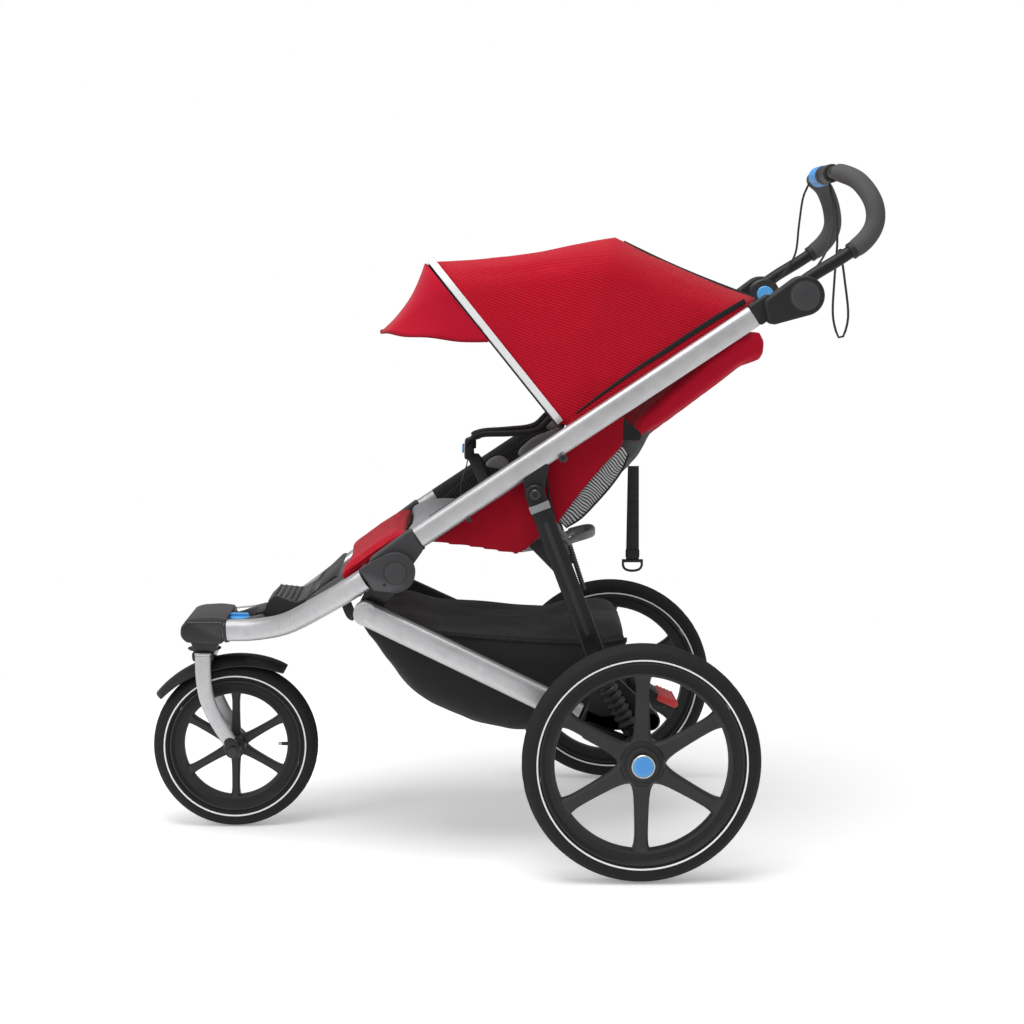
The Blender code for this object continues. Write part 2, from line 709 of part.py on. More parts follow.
def make_rear_suspension():
    for key, sign in SIDES.items():
        arm_body = make_body("swing_arm_" + key, ARM_PIVOT, sign * 0.2590, parent=rear_frame)
        wheel_body = make_body("rear_wheel_" + key, REAR_AXLE, sign * TRACK_Y, parent=arm_body)
        button_body = make_body("wheel_button_" + key, REAR_AXLE, sign * 0.3415, parent=wheel_body)
        arm = plate(disc_hull((*ARM_PIVOT, 0.0135), (*REAR_AXLE, 0.0210)), *across(sign, 0.2455, 0.2715))
        piece = add_piece("swing_arm_" + key, arm, "black_metal", arm_body)
        stub = rod(side(REAR_AXLE, sign * 0.2690), side(REAR_AXLE, sign * 0.3260), AXLE_R, 20)
        reach = (side(SPRING_SEAT) - side(BOOT_TOP)).length
        seat = rod(boot_place(sign, reach + GAP), boot_place(sign, reach + 0.0170), 0.0140, 16, 0.0100)
        join(piece, add_piece("stub_axle_" + key, stub, "steel", None))
        join(piece, add_piece("spring_seat_" + key, seat, "black_metal", None))
        hole = rod(side(ARM_PIVOT, sign * 0.2400), side(ARM_PIVOT, sign * 0.2800), 0.0064, 14)
        cut(piece, add_piece("arm_hole_" + key, hole, "black_metal", None))
        make_boot(key, sign, reach)
        centre = side(REAR_AXLE, sign * TRACK_Y)
        make_wheel("rear_" + key, centre, REAR_WHEEL, (-0.0425, 0.0185), wheel_body, 0.0380, sign, 30)
        make_button(key, sign, button_body)


def make_boot(key, sign, reach):
    """Ribbed rubber boot over the spring."""
    ribs, waist = 5, 0.0128
    profile = [(0.0, reach / 2)]
    for rib in range(ribs):
        top = reach / 2 - reach * rib / ribs
        profile += [(waist, top), (BOOT_R, top - reach / ribs * 0.5)]
    profile += [(waist, -reach / 2), (0.0, -reach / 2)]
    made = turned(profile, Vector(), 12, False)
    upright = Matrix.Rotation(math.radians(90), 4, "X")
    axis = boot_place(sign, 0.0) - boot_place(sign, 1.0)
    lean = axis.to_track_quat("Z", "Y").to_matrix().to_4x4()
    made.transform(Matrix.Translation(boot_place(sign, reach / 2)) @ lean @ upright)
    add_piece("shock_boot_" + key, made, "dark_plastic", rear_frame)


def make_button(key, sign, body):
    """Wheel release: a cap in the middle of the hub that is pushed in to free the wheel."""
    disc = rod(side(REAR_AXLE, sign * 0.3380), side(REAR_AXLE, sign * 0.3450), 0.0195, 24, 0.0175)
    stem = rod(side(REAR_AXLE, sign * 0.3312), side(REAR_AXLE, sign * 0.3400), 0.0055, 14)
    piece = add_piece("wheel_button_" + key, disc, "blue", body)
    join(piece, add_piece("button_stem_" + key, stem, "blue", None))


BASKET_Y = 0.1600


def make_basket():
    """Open luggage basket: a curved floor between a low front and a higher back, with side walls."""
    floor = [
        (-0.4880, 0.4020), (-0.4560, 0.3420), (-0.4050, 0.2600), (-0.3450, 0.2060),
        (-0.2600, 0.1840), (-0.1800, 0.1800), (-0.0900, 0.2150), (-0.0350, 0.2900),
    ]
    top = [(-0.0150, 0.3900), (-0.0800, 0.3930), (-0.2500, 0.3960), (-0.4300, 0.4080)]
    outer = plate(floor + top, -BASKET_Y, BASKET_Y)
    basket = add_piece("basket", outer, "charcoal", rear_frame)
    wall = 0.0060
    inner = [
        (-0.4700, 0.3960), (-0.4500, 0.3480), (-0.3990, 0.2660), (-0.3420, 0.2125),
        (-0.2590, 0.1905), (-0.1830, 0.1865), (-0.0950, 0.2200), (-0.0430, 0.2940), (-0.0240, 0.3850),
    ]
    mouth = [(-0.0240, 0.4500), (-0.4700, 0.4500)]
    hollow = plate(inner + mouth, -BASKET_Y + wall, BASKET_Y - wall)
    cut(basket, add_piece("basket_hollow", hollow, "charcoal", None))


def make_struts():
    """Black bars from the upper frame to the rear carriers, with the bar that the fold loop hangs on."""
    for key, sign in SIDES.items():
        bar = plate(disc_hull((*STRUT_TOP, 0.0175), (*STRUT_FOOT, 0.0175)), *across(sign, 0.2165, 0.2300))
        piece = add_piece("rear_strut_" + key, bar, "black_metal", rear_struts)
        foot_hole = rod(side(STRUT_FOOT, sign * 0.2100), side(STRUT_FOOT, sign * 0.2400), 0.0062, 14)
        cut(piece, add_piece("strut_foot_hole_" + key, foot_hole, "black_metal", None))
    bar = rod(side(STRUT_BAR, -0.2162), side(STRUT_BAR, 0.2162), 0.0085, 16)
    add_piece("strut_crossbar", bar, "black_metal", rear_struts)
    loop = [
        side((-0.1010, 0.5300), -0.0420),
        side((-0.0900, 0.5330), -0.0420),
        side((-0.0640, 0.5400), -0.0300),
        side((-0.0600, 0.5410), 0.0),
        side((-0.0640, 0.5400), 0.0300),
        side((-0.0900, 0.5330), 0.0420),
        side((-0.1010, 0.5300), 0.0420),
    ]
    grip = swept(loop, radius=0.0060, resolution=2, roundness=2)
    handle_loop = add_piece("fold_loop", grip, "grey_plastic", fold_loop)
    sleeve = rod(side(STRUT_BAR, -0.0500), side(STRUT_BAR, 0.0500), 0.0145, 20)
    join(handle_loop, add_piece("loop_sleeve", sleeve, "grey_plastic", None))
    for sign in SIDES.values():
        stem = rod(side(STRUT_BAR, sign * 0.0420), side((-0.0960, 0.5315), sign * 0.0420), 0.0060, 10)
        join(handle_loop, add_piece("loop_stem", stem, "grey_plastic", None))
    bore = rod(side(STRUT_BAR, -0.0600), side(STRUT_BAR, 0.0600), 0.0089, 16)
    cut(handle_loop, add_piece("loop_bore", bore, "grey_plastic", None))


def make_brake():
    """Foot brake: a pedal that turns on the cross tube."""
    x, z = CROSSBAR
    body = plate(disc_hull((x, z, 0.0190), (x + 0.046, z - 0.019, 0.0085)), -0.0340, 0.0340)
    pedal = add_piece("brake_pedal", body, "dark_plastic", brake)
    bore = rod(side(CROSSBAR, -0.0500), side(CROSSBAR, 0.0500), 0.0129, 20)
    cut(pedal, add_piece("pedal_bore", bore, "dark_plastic", None))
    pad = plate(disc_hull((x + 0.040, z - 0.009, 0.0060), (x + 0.066, z - 0.020, 0.0060)), -0.0400, 0.0400)
    join(pedal, add_piece("pedal_pad", pad, "red_plastic", None))


# --- handlebar -------------------------------------------------------------------------------------------

ARM_Y = 0.1785
HANDLE_ROUTE = [  # left half, from the pivot to the middle: (x, y, z)
    (0.2770, -ARM_Y, 0.9900),
    (0.3060, -ARM_Y, 1.0100),
    (0.3495, -ARM_Y, 1.0369),
    (0.3880, -ARM_Y, 1.0660),
    (0.4060, -0.1760, 1.0980),
    (0.4030, -0.1700, 1.1340),
    (0.3840, -0.1440, 1.1690),
    (0.3600, -0.1120, 1.1850),
    (0.3520, -0.0920, 1.1870),
    (0.3520, -0.0780, 1.1870),
]
BAR_R, GRIP_R = 0.0112, 0.0165


def mirrored(points):
    return [Vector((p.x, -p.y, p.z)) for p in points]


def make_handlebar():
    left = smooth_route([side((x, z), y) for x, y, z in HANDLE_ROUTE], 0.020)
    route = left + mirrored(left)[::-1]
    tube = swept(route, radius=BAR_R, roundness=2, straight=True)
    bar = add_piece("handlebar", tube, "black_metal", handle)
    x, z = HANDLE_PIVOT
    for key, sign in SIDES.items():
        eye = plate(disc_hull((x, z, 0.0290)), *across(sign, 0.1640, 0.1945))
        join(bar, add_piece("handle_eye_" + key, eye, "black_metal", None))
        pocket = rod(side(HANDLE_PIVOT, sign * 0.1500), side(HANDLE_PIVOT, sign * 0.1760), 0.0163, 24)
        cut(bar, add_piece("handle_pocket_" + key, pocket, "black_metal", None))
        button_body = make_body("handle_button_" + key, HANDLE_PIVOT, sign * 0.1660, parent=handle)
        button = rod(side(HANDLE_PIVOT, sign * 0.1590), side(HANDLE_PIVOT, sign * 0.1700), 0.0157, 24)
        add_piece("handle_button_" + key, button, "blue", button_body)
        make_grip(key, sign, route)
    mount = rod(side(BAR_TOP, -0.0760), side(BAR_TOP, -0.0040), 0.0172, 20)
    piece = add_piece("brake_lever_mount", mount, "dark_plastic", handle)
    room = rod(side(BAR_TOP, -0.0900), side(BAR_TOP, 0.0100), BAR_R + GAP, 20)
    cut(piece, add_piece("lever_mount_room", room, "dark_plastic", None))
    knob = rod(side(BAR_TOP, -0.0030), side(BAR_TOP, 0.0520), 0.0185, 20)
    piece = add_piece("brake_twist", knob, "blue", twist)
    room = rod(side(BAR_TOP, -0.0300), side(BAR_TOP, 0.0800), BAR_R + 0.0005, 20)
    cut(piece, add_piece("twist_room", room, "blue", None))


def make_grip(key, sign, route):
    """Foam sleeve around the bend of the handlebar."""
    along = [p for p in route if p.y < -0.1000 and p.z > 1.0480]
    points = along if sign < 0 else mirrored(along)
    sleeve = swept(points, radius=GRIP_R, roundness=2, straight=True)
    foam = add_piece("foam_grip_" + key, sleeve, "grip_foam", handle)
    wide = [p for p in route if p.y < 0.0 and p.z > 1.0300]
    core = wide if sign < 0 else mirrored(wide)
    room = swept(core, radius=BAR_R * 1.1, roundness=2, straight=True)
    cut(foam, add_piece("grip_room_" + key, room, "grip_foam", None))


# --- seat and canopy ----------------------------------------------------------------------------------


def make_seat():
    base = [
        (-0.3860, 0.5620), (-0.3880, 0.6020), (-0.3500, 0.6180), (-0.2600, 0.6040), (-0.1620, 0.5780),
        (-0.1450, 0.5640), (-0.1450, 0.5300), (-0.1970, 0.5250), (-0.3380, 0.5430),
    ]
    seat = add_piece("seat_sling", plate(base, -SEAT_Y, SEAT_Y), "red_fabric", upper_frame)
    wall = [
        (-0.3600, 0.5450), (-0.3380, 0.5410), (-0.1970, 0.5240), (-0.1450, 0.5230), (-0.1000, 0.5560),
        (0.0050, 0.6600), (0.0150, 0.7200), (-0.0200, 0.7750), (-0.1500, 0.6880), (-0.3500, 0.5700),
    ]
    for key, sign in SIDES.items():
        panel = plate(wall, *across(sign, 0.1745, 0.1795))
        join(seat, add_piece("side_wall_" + key, panel, "red_fabric", None))
    hem = [(-0.3000, 0.5420), (-0.2000, 0.5300), (-0.2000, 0.5420), (-0.3000, 0.5540)]
    join(seat, add_piece("seat_hem", plate(hem, -0.1760, 0.1760), "red_fabric", None))
    rest = [
        (-0.5060, 0.4900), (-0.5010, 0.5060), (-0.4500, 0.5610), (-0.3960, 0.6020), (-0.3900, 0.5900),
        (-0.3920, 0.5700), (-0.4400, 0.5310), (-0.4950, 0.4880),
    ]
    add_piece("leg_rest", plate(rest, -0.1600, 0.1600), "red_fabric", upper_frame)
    back = [
        (-0.1350, 0.6050), (-0.1330, 0.5700), (-0.1220, 0.5570), (-0.0600, 0.6080), (0.0000, 0.6640),
        (0.0220, 0.7010), (0.1300, 0.7750), (0.2350, 0.8500), (0.2460, 0.8850), (0.2150, 0.9150),
        (0.1300, 0.8620), (0.0000, 0.7300),
    ]
    add_piece("seat_back", plate(back, -BACK_Y, BACK_Y), "red_fabric", backrest)


HOOP_Y = 0.1690
HOOP_CORNER = 0.0700
HOOPS = {"rear": (33.8, 0.4090), "middle": (74.1, 0.3510), "front": (129.0, 0.3760)}


def hoop(angle, reach, half, corner, start=0.0300, corner_steps=4):
    """The arch of a canopy bow: up from the pivot on the left, across, and down on the right."""
    outward = Vector((math.cos(math.radians(angle)), 0.0, math.sin(math.radians(angle))))
    centre = side(CANOPY_PIVOT)
    left = [(start, -half), (reach - corner, -half)]
    for step in range(1, corner_steps + 1):
        turn = math.pi / 2 * step / corner_steps
        left.append((reach - corner + corner * math.sin(turn), -half + corner - corner * math.cos(turn)))
    full = left + [(r, -y) for r, y in reversed(left)]
    return [centre + outward * r + Vector((0.0, y, 0.0)) for r, y in full]


def make_canopy():
    rows = []
    names = ["rear", "middle", "front"]
    for name, after in zip(names, names[1:]):
        first = hoop(*HOOPS[name], HOOP_Y, HOOP_CORNER)
        last = hoop(*HOOPS[after], HOOP_Y, HOOP_CORNER)
        for step in range(3):
            row = [a.lerp(b, step / 3) for a, b in zip(first, last)]
            rows.append(row)
    rows.append(hoop(*HOOPS["front"], HOOP_Y, HOOP_CORNER))
    add_piece("canopy_fabric", sheet(rows, 0.0030), "red_fabric", upper_frame)
    for name, body, inset in (("front", front_bow, 0.0075), ("middle", middle_bow, 0.0165)):
        angle, reach = HOOPS[name]
        points = hoop(angle, reach - 0.0075, HOOP_Y - inset, HOOP_CORNER - inset, start=0.0)
        wire = swept(points, radius=0.0040, roundness=2, straight=True)
        add_piece("canopy_bow_" + name, wire, "black_metal", body)
    make_visor()


def make_visor():
    """Bill in front of the front bow: from its upper arch forwards and down to a rounded lip."""
    angle, reach = HOOPS["front"]
    arch = hoop(angle + 0.9, reach, HOOP_Y, HOOP_CORNER, start=0.2200)
    centre = side(CANOPY_PIVOT)
    lip_out = [0.2100, 0.2750, 0.3150, 0.3430, 0.3520, 0.3560]
    lip_turn = [137.0, 148.0, 151.5, 152.8, 153.0, 153.0]
    lip_y = [-0.1680, -0.1640, -0.1400, -0.1150, -0.0800, -0.0400]
    lip = []
    for r, turn, y in zip(lip_out, lip_turn, lip_y):
        turn = math.radians(turn)
        lip.append(centre + Vector((r * math.cos(turn), y, r * math.sin(turn))))
    lip += [Vector((p.x, -p.y, p.z)) for p in reversed(lip)]
    rows = [[a.lerp(b, step / 3) for a, b in zip(arch, lip)] for step in range(4)]
    add_piece("canopy_visor", sheet(rows, 0.0030), "red_fabric", front_bow)


# --- cords ---------------------------------------------------------------------------------------------

CABLE_R = 0.0020
BRAKE_CABLE_L = [
    (0.3530, -0.0480, 1.1680),
    (0.3575, -0.0600, 1.1280),
    (0.3510, -0.0900, 1.0840),
    (0.3300, -0.1200, 1.0400),
    (0.3000, -0.1420, 1.0030),
    (0.2850, -0.1520, 0.9850),
]
BRAKE_CABLE_R = [
    (0.3390, 0.0600, 1.1780),
    (0.3290, 0.0700, 1.1500),
    (0.3250, 0.0850, 1.1000),
    (0.3230, 0.1100, 1.0450),
    (0.3020, 0.1350, 1.0050),
    (0.2850, 0.1500, 0.9850),
]
WRIST_R = 0.0022
WRIST_STRAP = [
    (0.3760, 0.0620, 1.1780),
    (0.3860, 0.0480, 1.1300),
    (0.3880, 0.0420, 1.0700),
    (0.3830, 0.0380, 1.0000),
    (0.3810, 0.0360, 0.9300),
    (0.3950, 0.0340, 0.8900),
    (0.4080, 0.0320, 0.9300),
    (0.4000, 0.0300, 1.0000),
    (0.3920, 0.0300, 1.0500),
]


def cord(name, route, radius, body):
    points = smooth_route([side((x, z), y) for x, y, z in route], 0.0120)
    add_piece(name, swept(points, radius=radius, roundness=2, straight=True), "cord", body)


def make_cords():
    cord("brake_cable_l", BRAKE_CABLE_L, CABLE_R, handle)
    cord("brake_cable_r", BRAKE_CABLE_R, CABLE_R, handle)
    cord("wrist_strap", WRIST_STRAP, WRIST_R, handle)
    strap = box(side((0.0015, 0.4880), -0.0012), side((0.0235, 0.6580), 0.0012))
    add_piece("recline_strap", strap, "cord", backrest)
    loop = [
        (-0.0040, 0.4860), (-0.0040, 0.4740), (0.0020, 0.4680),
        (0.0230, 0.4680), (0.0290, 0.4740), (0.0290, 0.4860),
    ]
    ring = swept([side(place) for place in loop], radius=0.0022, roundness=2, straight=True)
    ring_wire = add_piece("recline_ring", ring, "black_metal", backrest)
    bar = rod(side((-0.0060, 0.4845)), side((0.0310, 0.4845)), 0.0030, 12)
    join(ring_wire, add_piece("ring_bar", bar, "black_metal", None))


make_front_frame()
make_fork()
make_wheel("front", side(FRONT_AXLE), FRONT_WHEEL, (-0.0360, 0.0360), front_wheel, 0.0200, 1, 28)
make_upper_frame()
make_rear_frame()
make_rear_suspension()
make_struts()
make_brake()
make_handlebar()
make_seat()
make_canopy()
make_cords()
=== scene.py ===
"""Looks of a three-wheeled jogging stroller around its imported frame: metres, +Z up, travel towards -X.

Side-view places are pairs (x, z) counted from the ground under the rear axle; at() moves them to the frame.
The left side of the stroller is at -Y, which is the side that the camera looks at.
"""

import json
import math

import bmesh
import bpy
from mathutils import Matrix, Vector, noise
from mathutils.geometry import convex_hull_2d


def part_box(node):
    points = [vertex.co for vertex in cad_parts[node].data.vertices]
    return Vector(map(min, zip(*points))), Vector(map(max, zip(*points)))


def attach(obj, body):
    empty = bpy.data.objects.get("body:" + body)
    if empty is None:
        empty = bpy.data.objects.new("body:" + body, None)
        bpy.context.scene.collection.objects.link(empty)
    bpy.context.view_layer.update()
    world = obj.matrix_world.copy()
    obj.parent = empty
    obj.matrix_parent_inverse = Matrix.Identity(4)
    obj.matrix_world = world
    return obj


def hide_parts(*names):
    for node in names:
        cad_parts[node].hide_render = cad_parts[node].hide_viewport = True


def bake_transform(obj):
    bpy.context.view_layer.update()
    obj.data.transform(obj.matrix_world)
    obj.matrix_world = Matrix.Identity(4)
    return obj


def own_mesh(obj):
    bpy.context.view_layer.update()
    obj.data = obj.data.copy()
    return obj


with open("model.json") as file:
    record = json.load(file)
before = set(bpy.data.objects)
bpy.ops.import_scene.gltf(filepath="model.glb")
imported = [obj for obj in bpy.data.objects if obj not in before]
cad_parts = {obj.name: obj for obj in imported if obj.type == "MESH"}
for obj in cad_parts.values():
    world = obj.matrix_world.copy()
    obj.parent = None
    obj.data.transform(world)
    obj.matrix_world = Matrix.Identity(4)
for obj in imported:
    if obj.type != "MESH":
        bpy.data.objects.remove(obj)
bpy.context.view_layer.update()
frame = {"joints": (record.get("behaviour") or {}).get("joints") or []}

PIVOT = {j["name"]: Vector(j["pos_m"]) for j in frame["joints"] if j["type"] == "hinge"}
AXLE_X = PIVOT["rear_wheel_spin_l"].x
SIDES = {"l": -1, "r": 1}
UP = Vector((0.0, 0.0, 1.0))
ACROSS = Vector((0.0, 1.0, 0.0))
GAP = 0.0003  # between pieces that touch


def at(x, z, y=0.0):
    """A side-view place, at a distance from the middle."""
    return Vector((AXLE_X + x, y, z))


def flat(place):
    """The side-view pair of a place in the frame."""
    return (place.x - AXLE_X, place.z)


def pivot(joint):
    """The side-view pair of a joint."""
    return flat(PIVOT[joint])


def span(sign, near, far):
    """The interval from near to far from the middle, on one side, low end first."""
    return sorted((sign * near, sign * far))


def mix(a, b, share):
    return a + (b - a) * share


# --- camera, floor and light ---

CAMERA_PLACE = (-0.091, -3.2049, 0.9903)
CAMERA_YAW, CAMERA_PITCH, CAMERA_ROLL = -0.0303, 0.043, 0.0075
CAMERA_LENS = 62.37
CAMERA_SHIFT = -0.15  # the photographed frame lies below the lens's axis
AMBIENT = 0.5  # strength of the sky's light
FLOOR_FADE, FLOOR_GLOW = (0.8, 1.7), 0.22  # metres from the middle, and strength


def make_camera():
    data = bpy.data.cameras.new("camera")
    data.lens = CAMERA_LENS
    data.shift_y = CAMERA_SHIFT
    camera = bpy.data.objects.new("camera", data)
    bpy.context.scene.collection.objects.link(camera)
    yaw, pitch = CAMERA_YAW, CAMERA_PITCH
    ahead = Vector((-math.sin(yaw) * math.cos(pitch), math.cos(yaw) * math.cos(pitch), -math.sin(pitch)))
    right = Vector((math.cos(yaw), math.sin(yaw), 0.0))
    above = right.cross(ahead)
    c, s = math.cos(CAMERA_ROLL), math.sin(CAMERA_ROLL)
    columns = (right * c + above * s, above * c - right * s, -ahead)
    turn = Matrix(columns).transposed().to_4x4()
    camera.matrix_world = Matrix.Translation(CAMERA_PLACE) @ turn
    bpy.context.scene.camera = camera


def make_light(name, place, aim, size, power):
    data = bpy.data.lights.new(name, "AREA")
    data.shape = "DISK"
    data.size = size
    data.energy = power
    light = bpy.data.objects.new(name, data)
    bpy.context.scene.collection.objects.link(light)
    light.location = place
    light.rotation_euler = (Vector(aim) - Vector(place)).to_track_quat("-Z", "Y").to_euler()


def make_studio():
    scene = bpy.context.scene
    scene.view_settings.view_transform = "Standard"
    world = bpy.data.worlds.new("studio")
    world.use_nodes = True
    tree = world.node_tree
    plain, backdrop = tree.nodes["Background"], tree.nodes.new("ShaderNodeBackground")
    plain.inputs["Color"].default_value = backdrop.inputs["Color"].default_value = (1.0, 1.0, 1.0, 1.0)
    plain.inputs["Strength"].default_value = AMBIENT
    chosen, seen = tree.nodes.new("ShaderNodeMixShader"), tree.nodes.new("ShaderNodeLightPath")
    tree.links.new(seen.outputs["Is Camera Ray"], chosen.inputs[0])
    tree.links.new(plain.outputs[0], chosen.inputs[1])
    tree.links.new(backdrop.outputs[0], chosen.inputs[2])
    tree.links.new(chosen.outputs[0], tree.nodes["World Output"].inputs["Surface"])
    scene.world = world
    make_light("top_light", (-0.3, -0.6, 3.2), (0.0, 0.0, 0.5), 2.6, 78.0)
    make_light("front_light", (-2.6, -1.8, 2.0), (0.0, 0.0, 0.6), 1.6, 26.0)
    made = bmesh.new()
    bmesh.ops.create_circle(made, cap_ends=True, segments=96, radius=9.0)
    mesh = bpy.data.meshes.new("floor")
    made.to_mesh(mesh)
    made.free()
    floor = bpy.data.objects.new("floor", mesh)
    scene.collection.objects.link(floor)
    mesh.materials.append(floor_material())


# --- materials ---


def node(made, kind, inputs=(), **settings):
    """A shader node. Inputs are (name or number, value or another node's output)."""
    new = made.node_tree.nodes.new("ShaderNode" + kind)
    for key, value in settings.items():
        setattr(new, key, value)
    for key, value in inputs:
        if isinstance(value, bpy.types.NodeSocket):
            made.node_tree.links.new(value, new.inputs[key])
        else:
            new.inputs[key].default_value = value
    return new


def coordinates(made, kind="Object"):
    return node(made, "TexCoord").outputs[kind]


def math_of(made, operation, a, b=0.0):
    return node(made, "Math", [(0, a), (1, b)], operation=operation).outputs[0]


def blended(made, main, other, share=0.25):
    """Two patterns mixed, with a share for the other."""
    parts = (math_of(made, "MULTIPLY", main, 1 - share), math_of(made, "MULTIPLY", other, share))
    return math_of(made, "ADD", *parts)


def rescaled(made, value, low, high, to_low=0.0, to_high=1.0):
    inputs = [("Value", value), ("From Min", low), ("From Max", high), ("To Min", to_low), ("To Max", to_high)]
    return node(made, "MapRange", inputs).outputs["Result"]


def speckle(made, scale, detail=3.0, stretch=(1.0, 1.0, 1.0)):
    """Noise from 0 to 1, which may be drawn out along an axis."""
    placed = node(made, "Mapping", [("Vector", coordinates(made)), ("Scale", stretch)])
    inputs = [("Vector", placed.outputs[0]), ("Scale", scale), ("Detail", detail)]
    return node(made, "TexNoise", inputs).outputs["Fac"]


def ripple(made, direction, pitch, kind="Object"):
    """Parallel waves from 0 to 1, a pitch apart along a direction."""
    wave = Vector(direction).normalized() * (2 * math.pi / pitch)
    dot = node(made, "VectorMath", [(0, coordinates(made, kind)), (1, wave)], operation="DOT_PRODUCT")
    return rescaled(made, math_of(made, "SINE", dot.outputs["Value"]), -1.0, 1.0)


def weave(made, pitch):
    """A woven pattern that reads the same on a surface that faces any way."""
    turns = 2 * math.pi / pitch
    scaled = node(made, "VectorMath", [(0, coordinates(made)), ("Scale", turns)], operation="SCALE")
    waves = node(made, "VectorMath", [(0, scaled.outputs[0])], operation="SINE")
    split = node(made, "SeparateXYZ", [(0, waves.outputs[0])])
    rolled = node(made, "CombineXYZ", [(0, split.outputs[1]), (1, split.outputs[2]), (2, split.outputs[0])])
    product = node(made, "VectorMath", [(0, waves.outputs[0]), (1, rolled.outputs[0])], operation="DOT_PRODUCT")
    return rescaled(made, product.outputs["Value"], -1.0, 1.5)


ROUGH_VARIES = 0.06
HIGHLIGHT_EDGE = 0.515, 0.6  # pointiness where the painted edge highlight starts and where it is full


def finish(colours, roughness, pattern, bump, metallic=0.0, blotch=9.0, edge_highlight=0.0, fixed=()):
    """A material whose colours follow a pattern of heights. A slow blotch varies its tone and roughness."""
    made = bpy.data.materials.new("finish")
    made.use_nodes = True
    shader = made.node_tree.nodes["Principled BSDF"]
    shader.inputs["Metallic"].default_value = metallic
    for key, value in fixed:
        shader.inputs[key].default_value = value
    height = pattern(made)
    slow = speckle(made, blotch)
    ramp = node(made, "ValToRGB", [("Fac", blended(made, height, slow, 0.3))])
    low, high = ramp.color_ramp.elements
    low.color, high.color = (*colours[0], 1.0), (*colours[1], 1.0)
    low.position, high.position = 0.2, 0.8
    colour = ramp.outputs["Color"]
    # Painted highlight: convex edges, picked out by pointiness, are mixed towards a brighter copy of the colour.
    if edge_highlight:
        edge = rescaled(made, node(made, "NewGeometry").outputs["Pointiness"], *HIGHLIGHT_EDGE, 0.0, edge_highlight)
        highlight_colour = tuple(min(1.0, c * 2.5 + 0.05) for c in colours[1])
        mixed = node(made, "Mix", [(0, edge), (6, colour), (7, (*highlight_colour, 1.0))], data_type="RGBA")
        colour = mixed.outputs[2]
    links = made.node_tree.links
    links.new(colour, shader.inputs["Base Color"])
    rough = rescaled(made, slow, 0.3, 0.7, roughness - ROUGH_VARIES, roughness + ROUGH_VARIES)
    links.new(rough, shader.inputs["Roughness"])
    raised = node(made, "Bump", [("Strength", bump[0]), ("Distance", bump[1]), ("Height", height)])
    links.new(raised.outputs[0], shader.inputs["Normal"])
    return made


def floor_material():
    """White paper near the object, which fades into a white background around it."""
    made = bpy.data.materials.new("floor")
    made.use_nodes = True
    shader = made.node_tree.nodes["Principled BSDF"]
    shader.inputs["Roughness"].default_value = 0.9
    paper = speckle(made, 40.0)
    ramp = node(made, "ValToRGB", [("Fac", paper)])
    ramp.color_ramp.elements[0].color = (0.93, 0.93, 0.93, 1.0)
    ramp.color_ramp.elements[1].color = (0.95, 0.95, 0.95, 1.0)
    made.node_tree.links.new(ramp.outputs[0], shader.inputs["Base Color"])
    shader.inputs["Emission Color"].default_value = (1.0, 1.0, 1.0, 1.0)
    shader.inputs["Emission Strength"].default_value = FLOOR_GLOW
    distance = node(made, "VectorMath", [(0, coordinates(made))], operation="LENGTH").outputs["Value"]
    away = rescaled(made, distance, *FLOOR_FADE)
    glow = node(made, "Emission", [("Color", (1.0, 1.0, 1.0, 1.0))])
    mixed = node(made, "MixShader", [(0, away), (1, shader.outputs[0]), (2, glow.outputs[0])])
    made.node_tree.links.new(mixed.outputs[0], made.node_tree.nodes["Material Output"].inputs["Surface"])
    return made


def ribbed(pitch, kind="UV", direction=(0.0, 1.0, 0.0)):
    """Fine cloth ribs over a weave."""

    def pattern(made):
        return blended(made, ripple(made, direction, pitch, kind), weave(made, 0.0011))

    return pattern


def cloth(pitch):
    """Woven cloth with a fine fuzz."""

    def pattern(made):
        return blended(made, weave(made, pitch), speckle(made, 900.0))

    return pattern


def grain(scale, stretch=(1.0, 1.0, 1.0), detail=3.0):
    return lambda made: speckle(made, scale, detail, stretch)


def zebra(made):
    """Wavy stripes, light on dark."""
    place = coordinates(made)
    bent = speckle(made, 26.0, 1.0)
    along = Vector((0.55, 0.25, 0.8)).normalized() * (2 * math.pi / 0.0048)
    dot = node(made, "VectorMath", [(0, place), (1, along)], operation="DOT_PRODUCT").outputs["Value"]
    bend = math_of(made, "ADD", dot, math_of(made, "MULTIPLY", bent, 22.0))
    return rescaled(made, math_of(made, "SINE", bend), -0.25, 0.35)


def knit(made):
    """Open ribbed netting."""
    rib = ripple(made, (1.0, 0.0, 0.6), 0.006)
    hole = ripple(made, (-0.6, 0.0, 1.0), 0.003)
    return math_of(made, "MULTIPLY", rib, hole)


def studs(made):
    """Small raised dots of a tread plate."""
    across = ripple(made, (0.0, 1.0, 0.0), 0.007)
    along = ripple(made, (1.0, 0.0, 0.25), 0.007)
    return rescaled(made, math_of(made, "MULTIPLY", across, along), 0.55, 0.8)


RED_DARK, RED_LIGHT = (0.33, 0.0015, 0.009), (0.52, 0.004, 0.022)
MATT = [("Specular IOR Level", 0.22)]
SOFT = [("Sheen Weight", 0.12), ("Sheen Roughness", 0.4), ("Specular IOR Level", 0.12)]
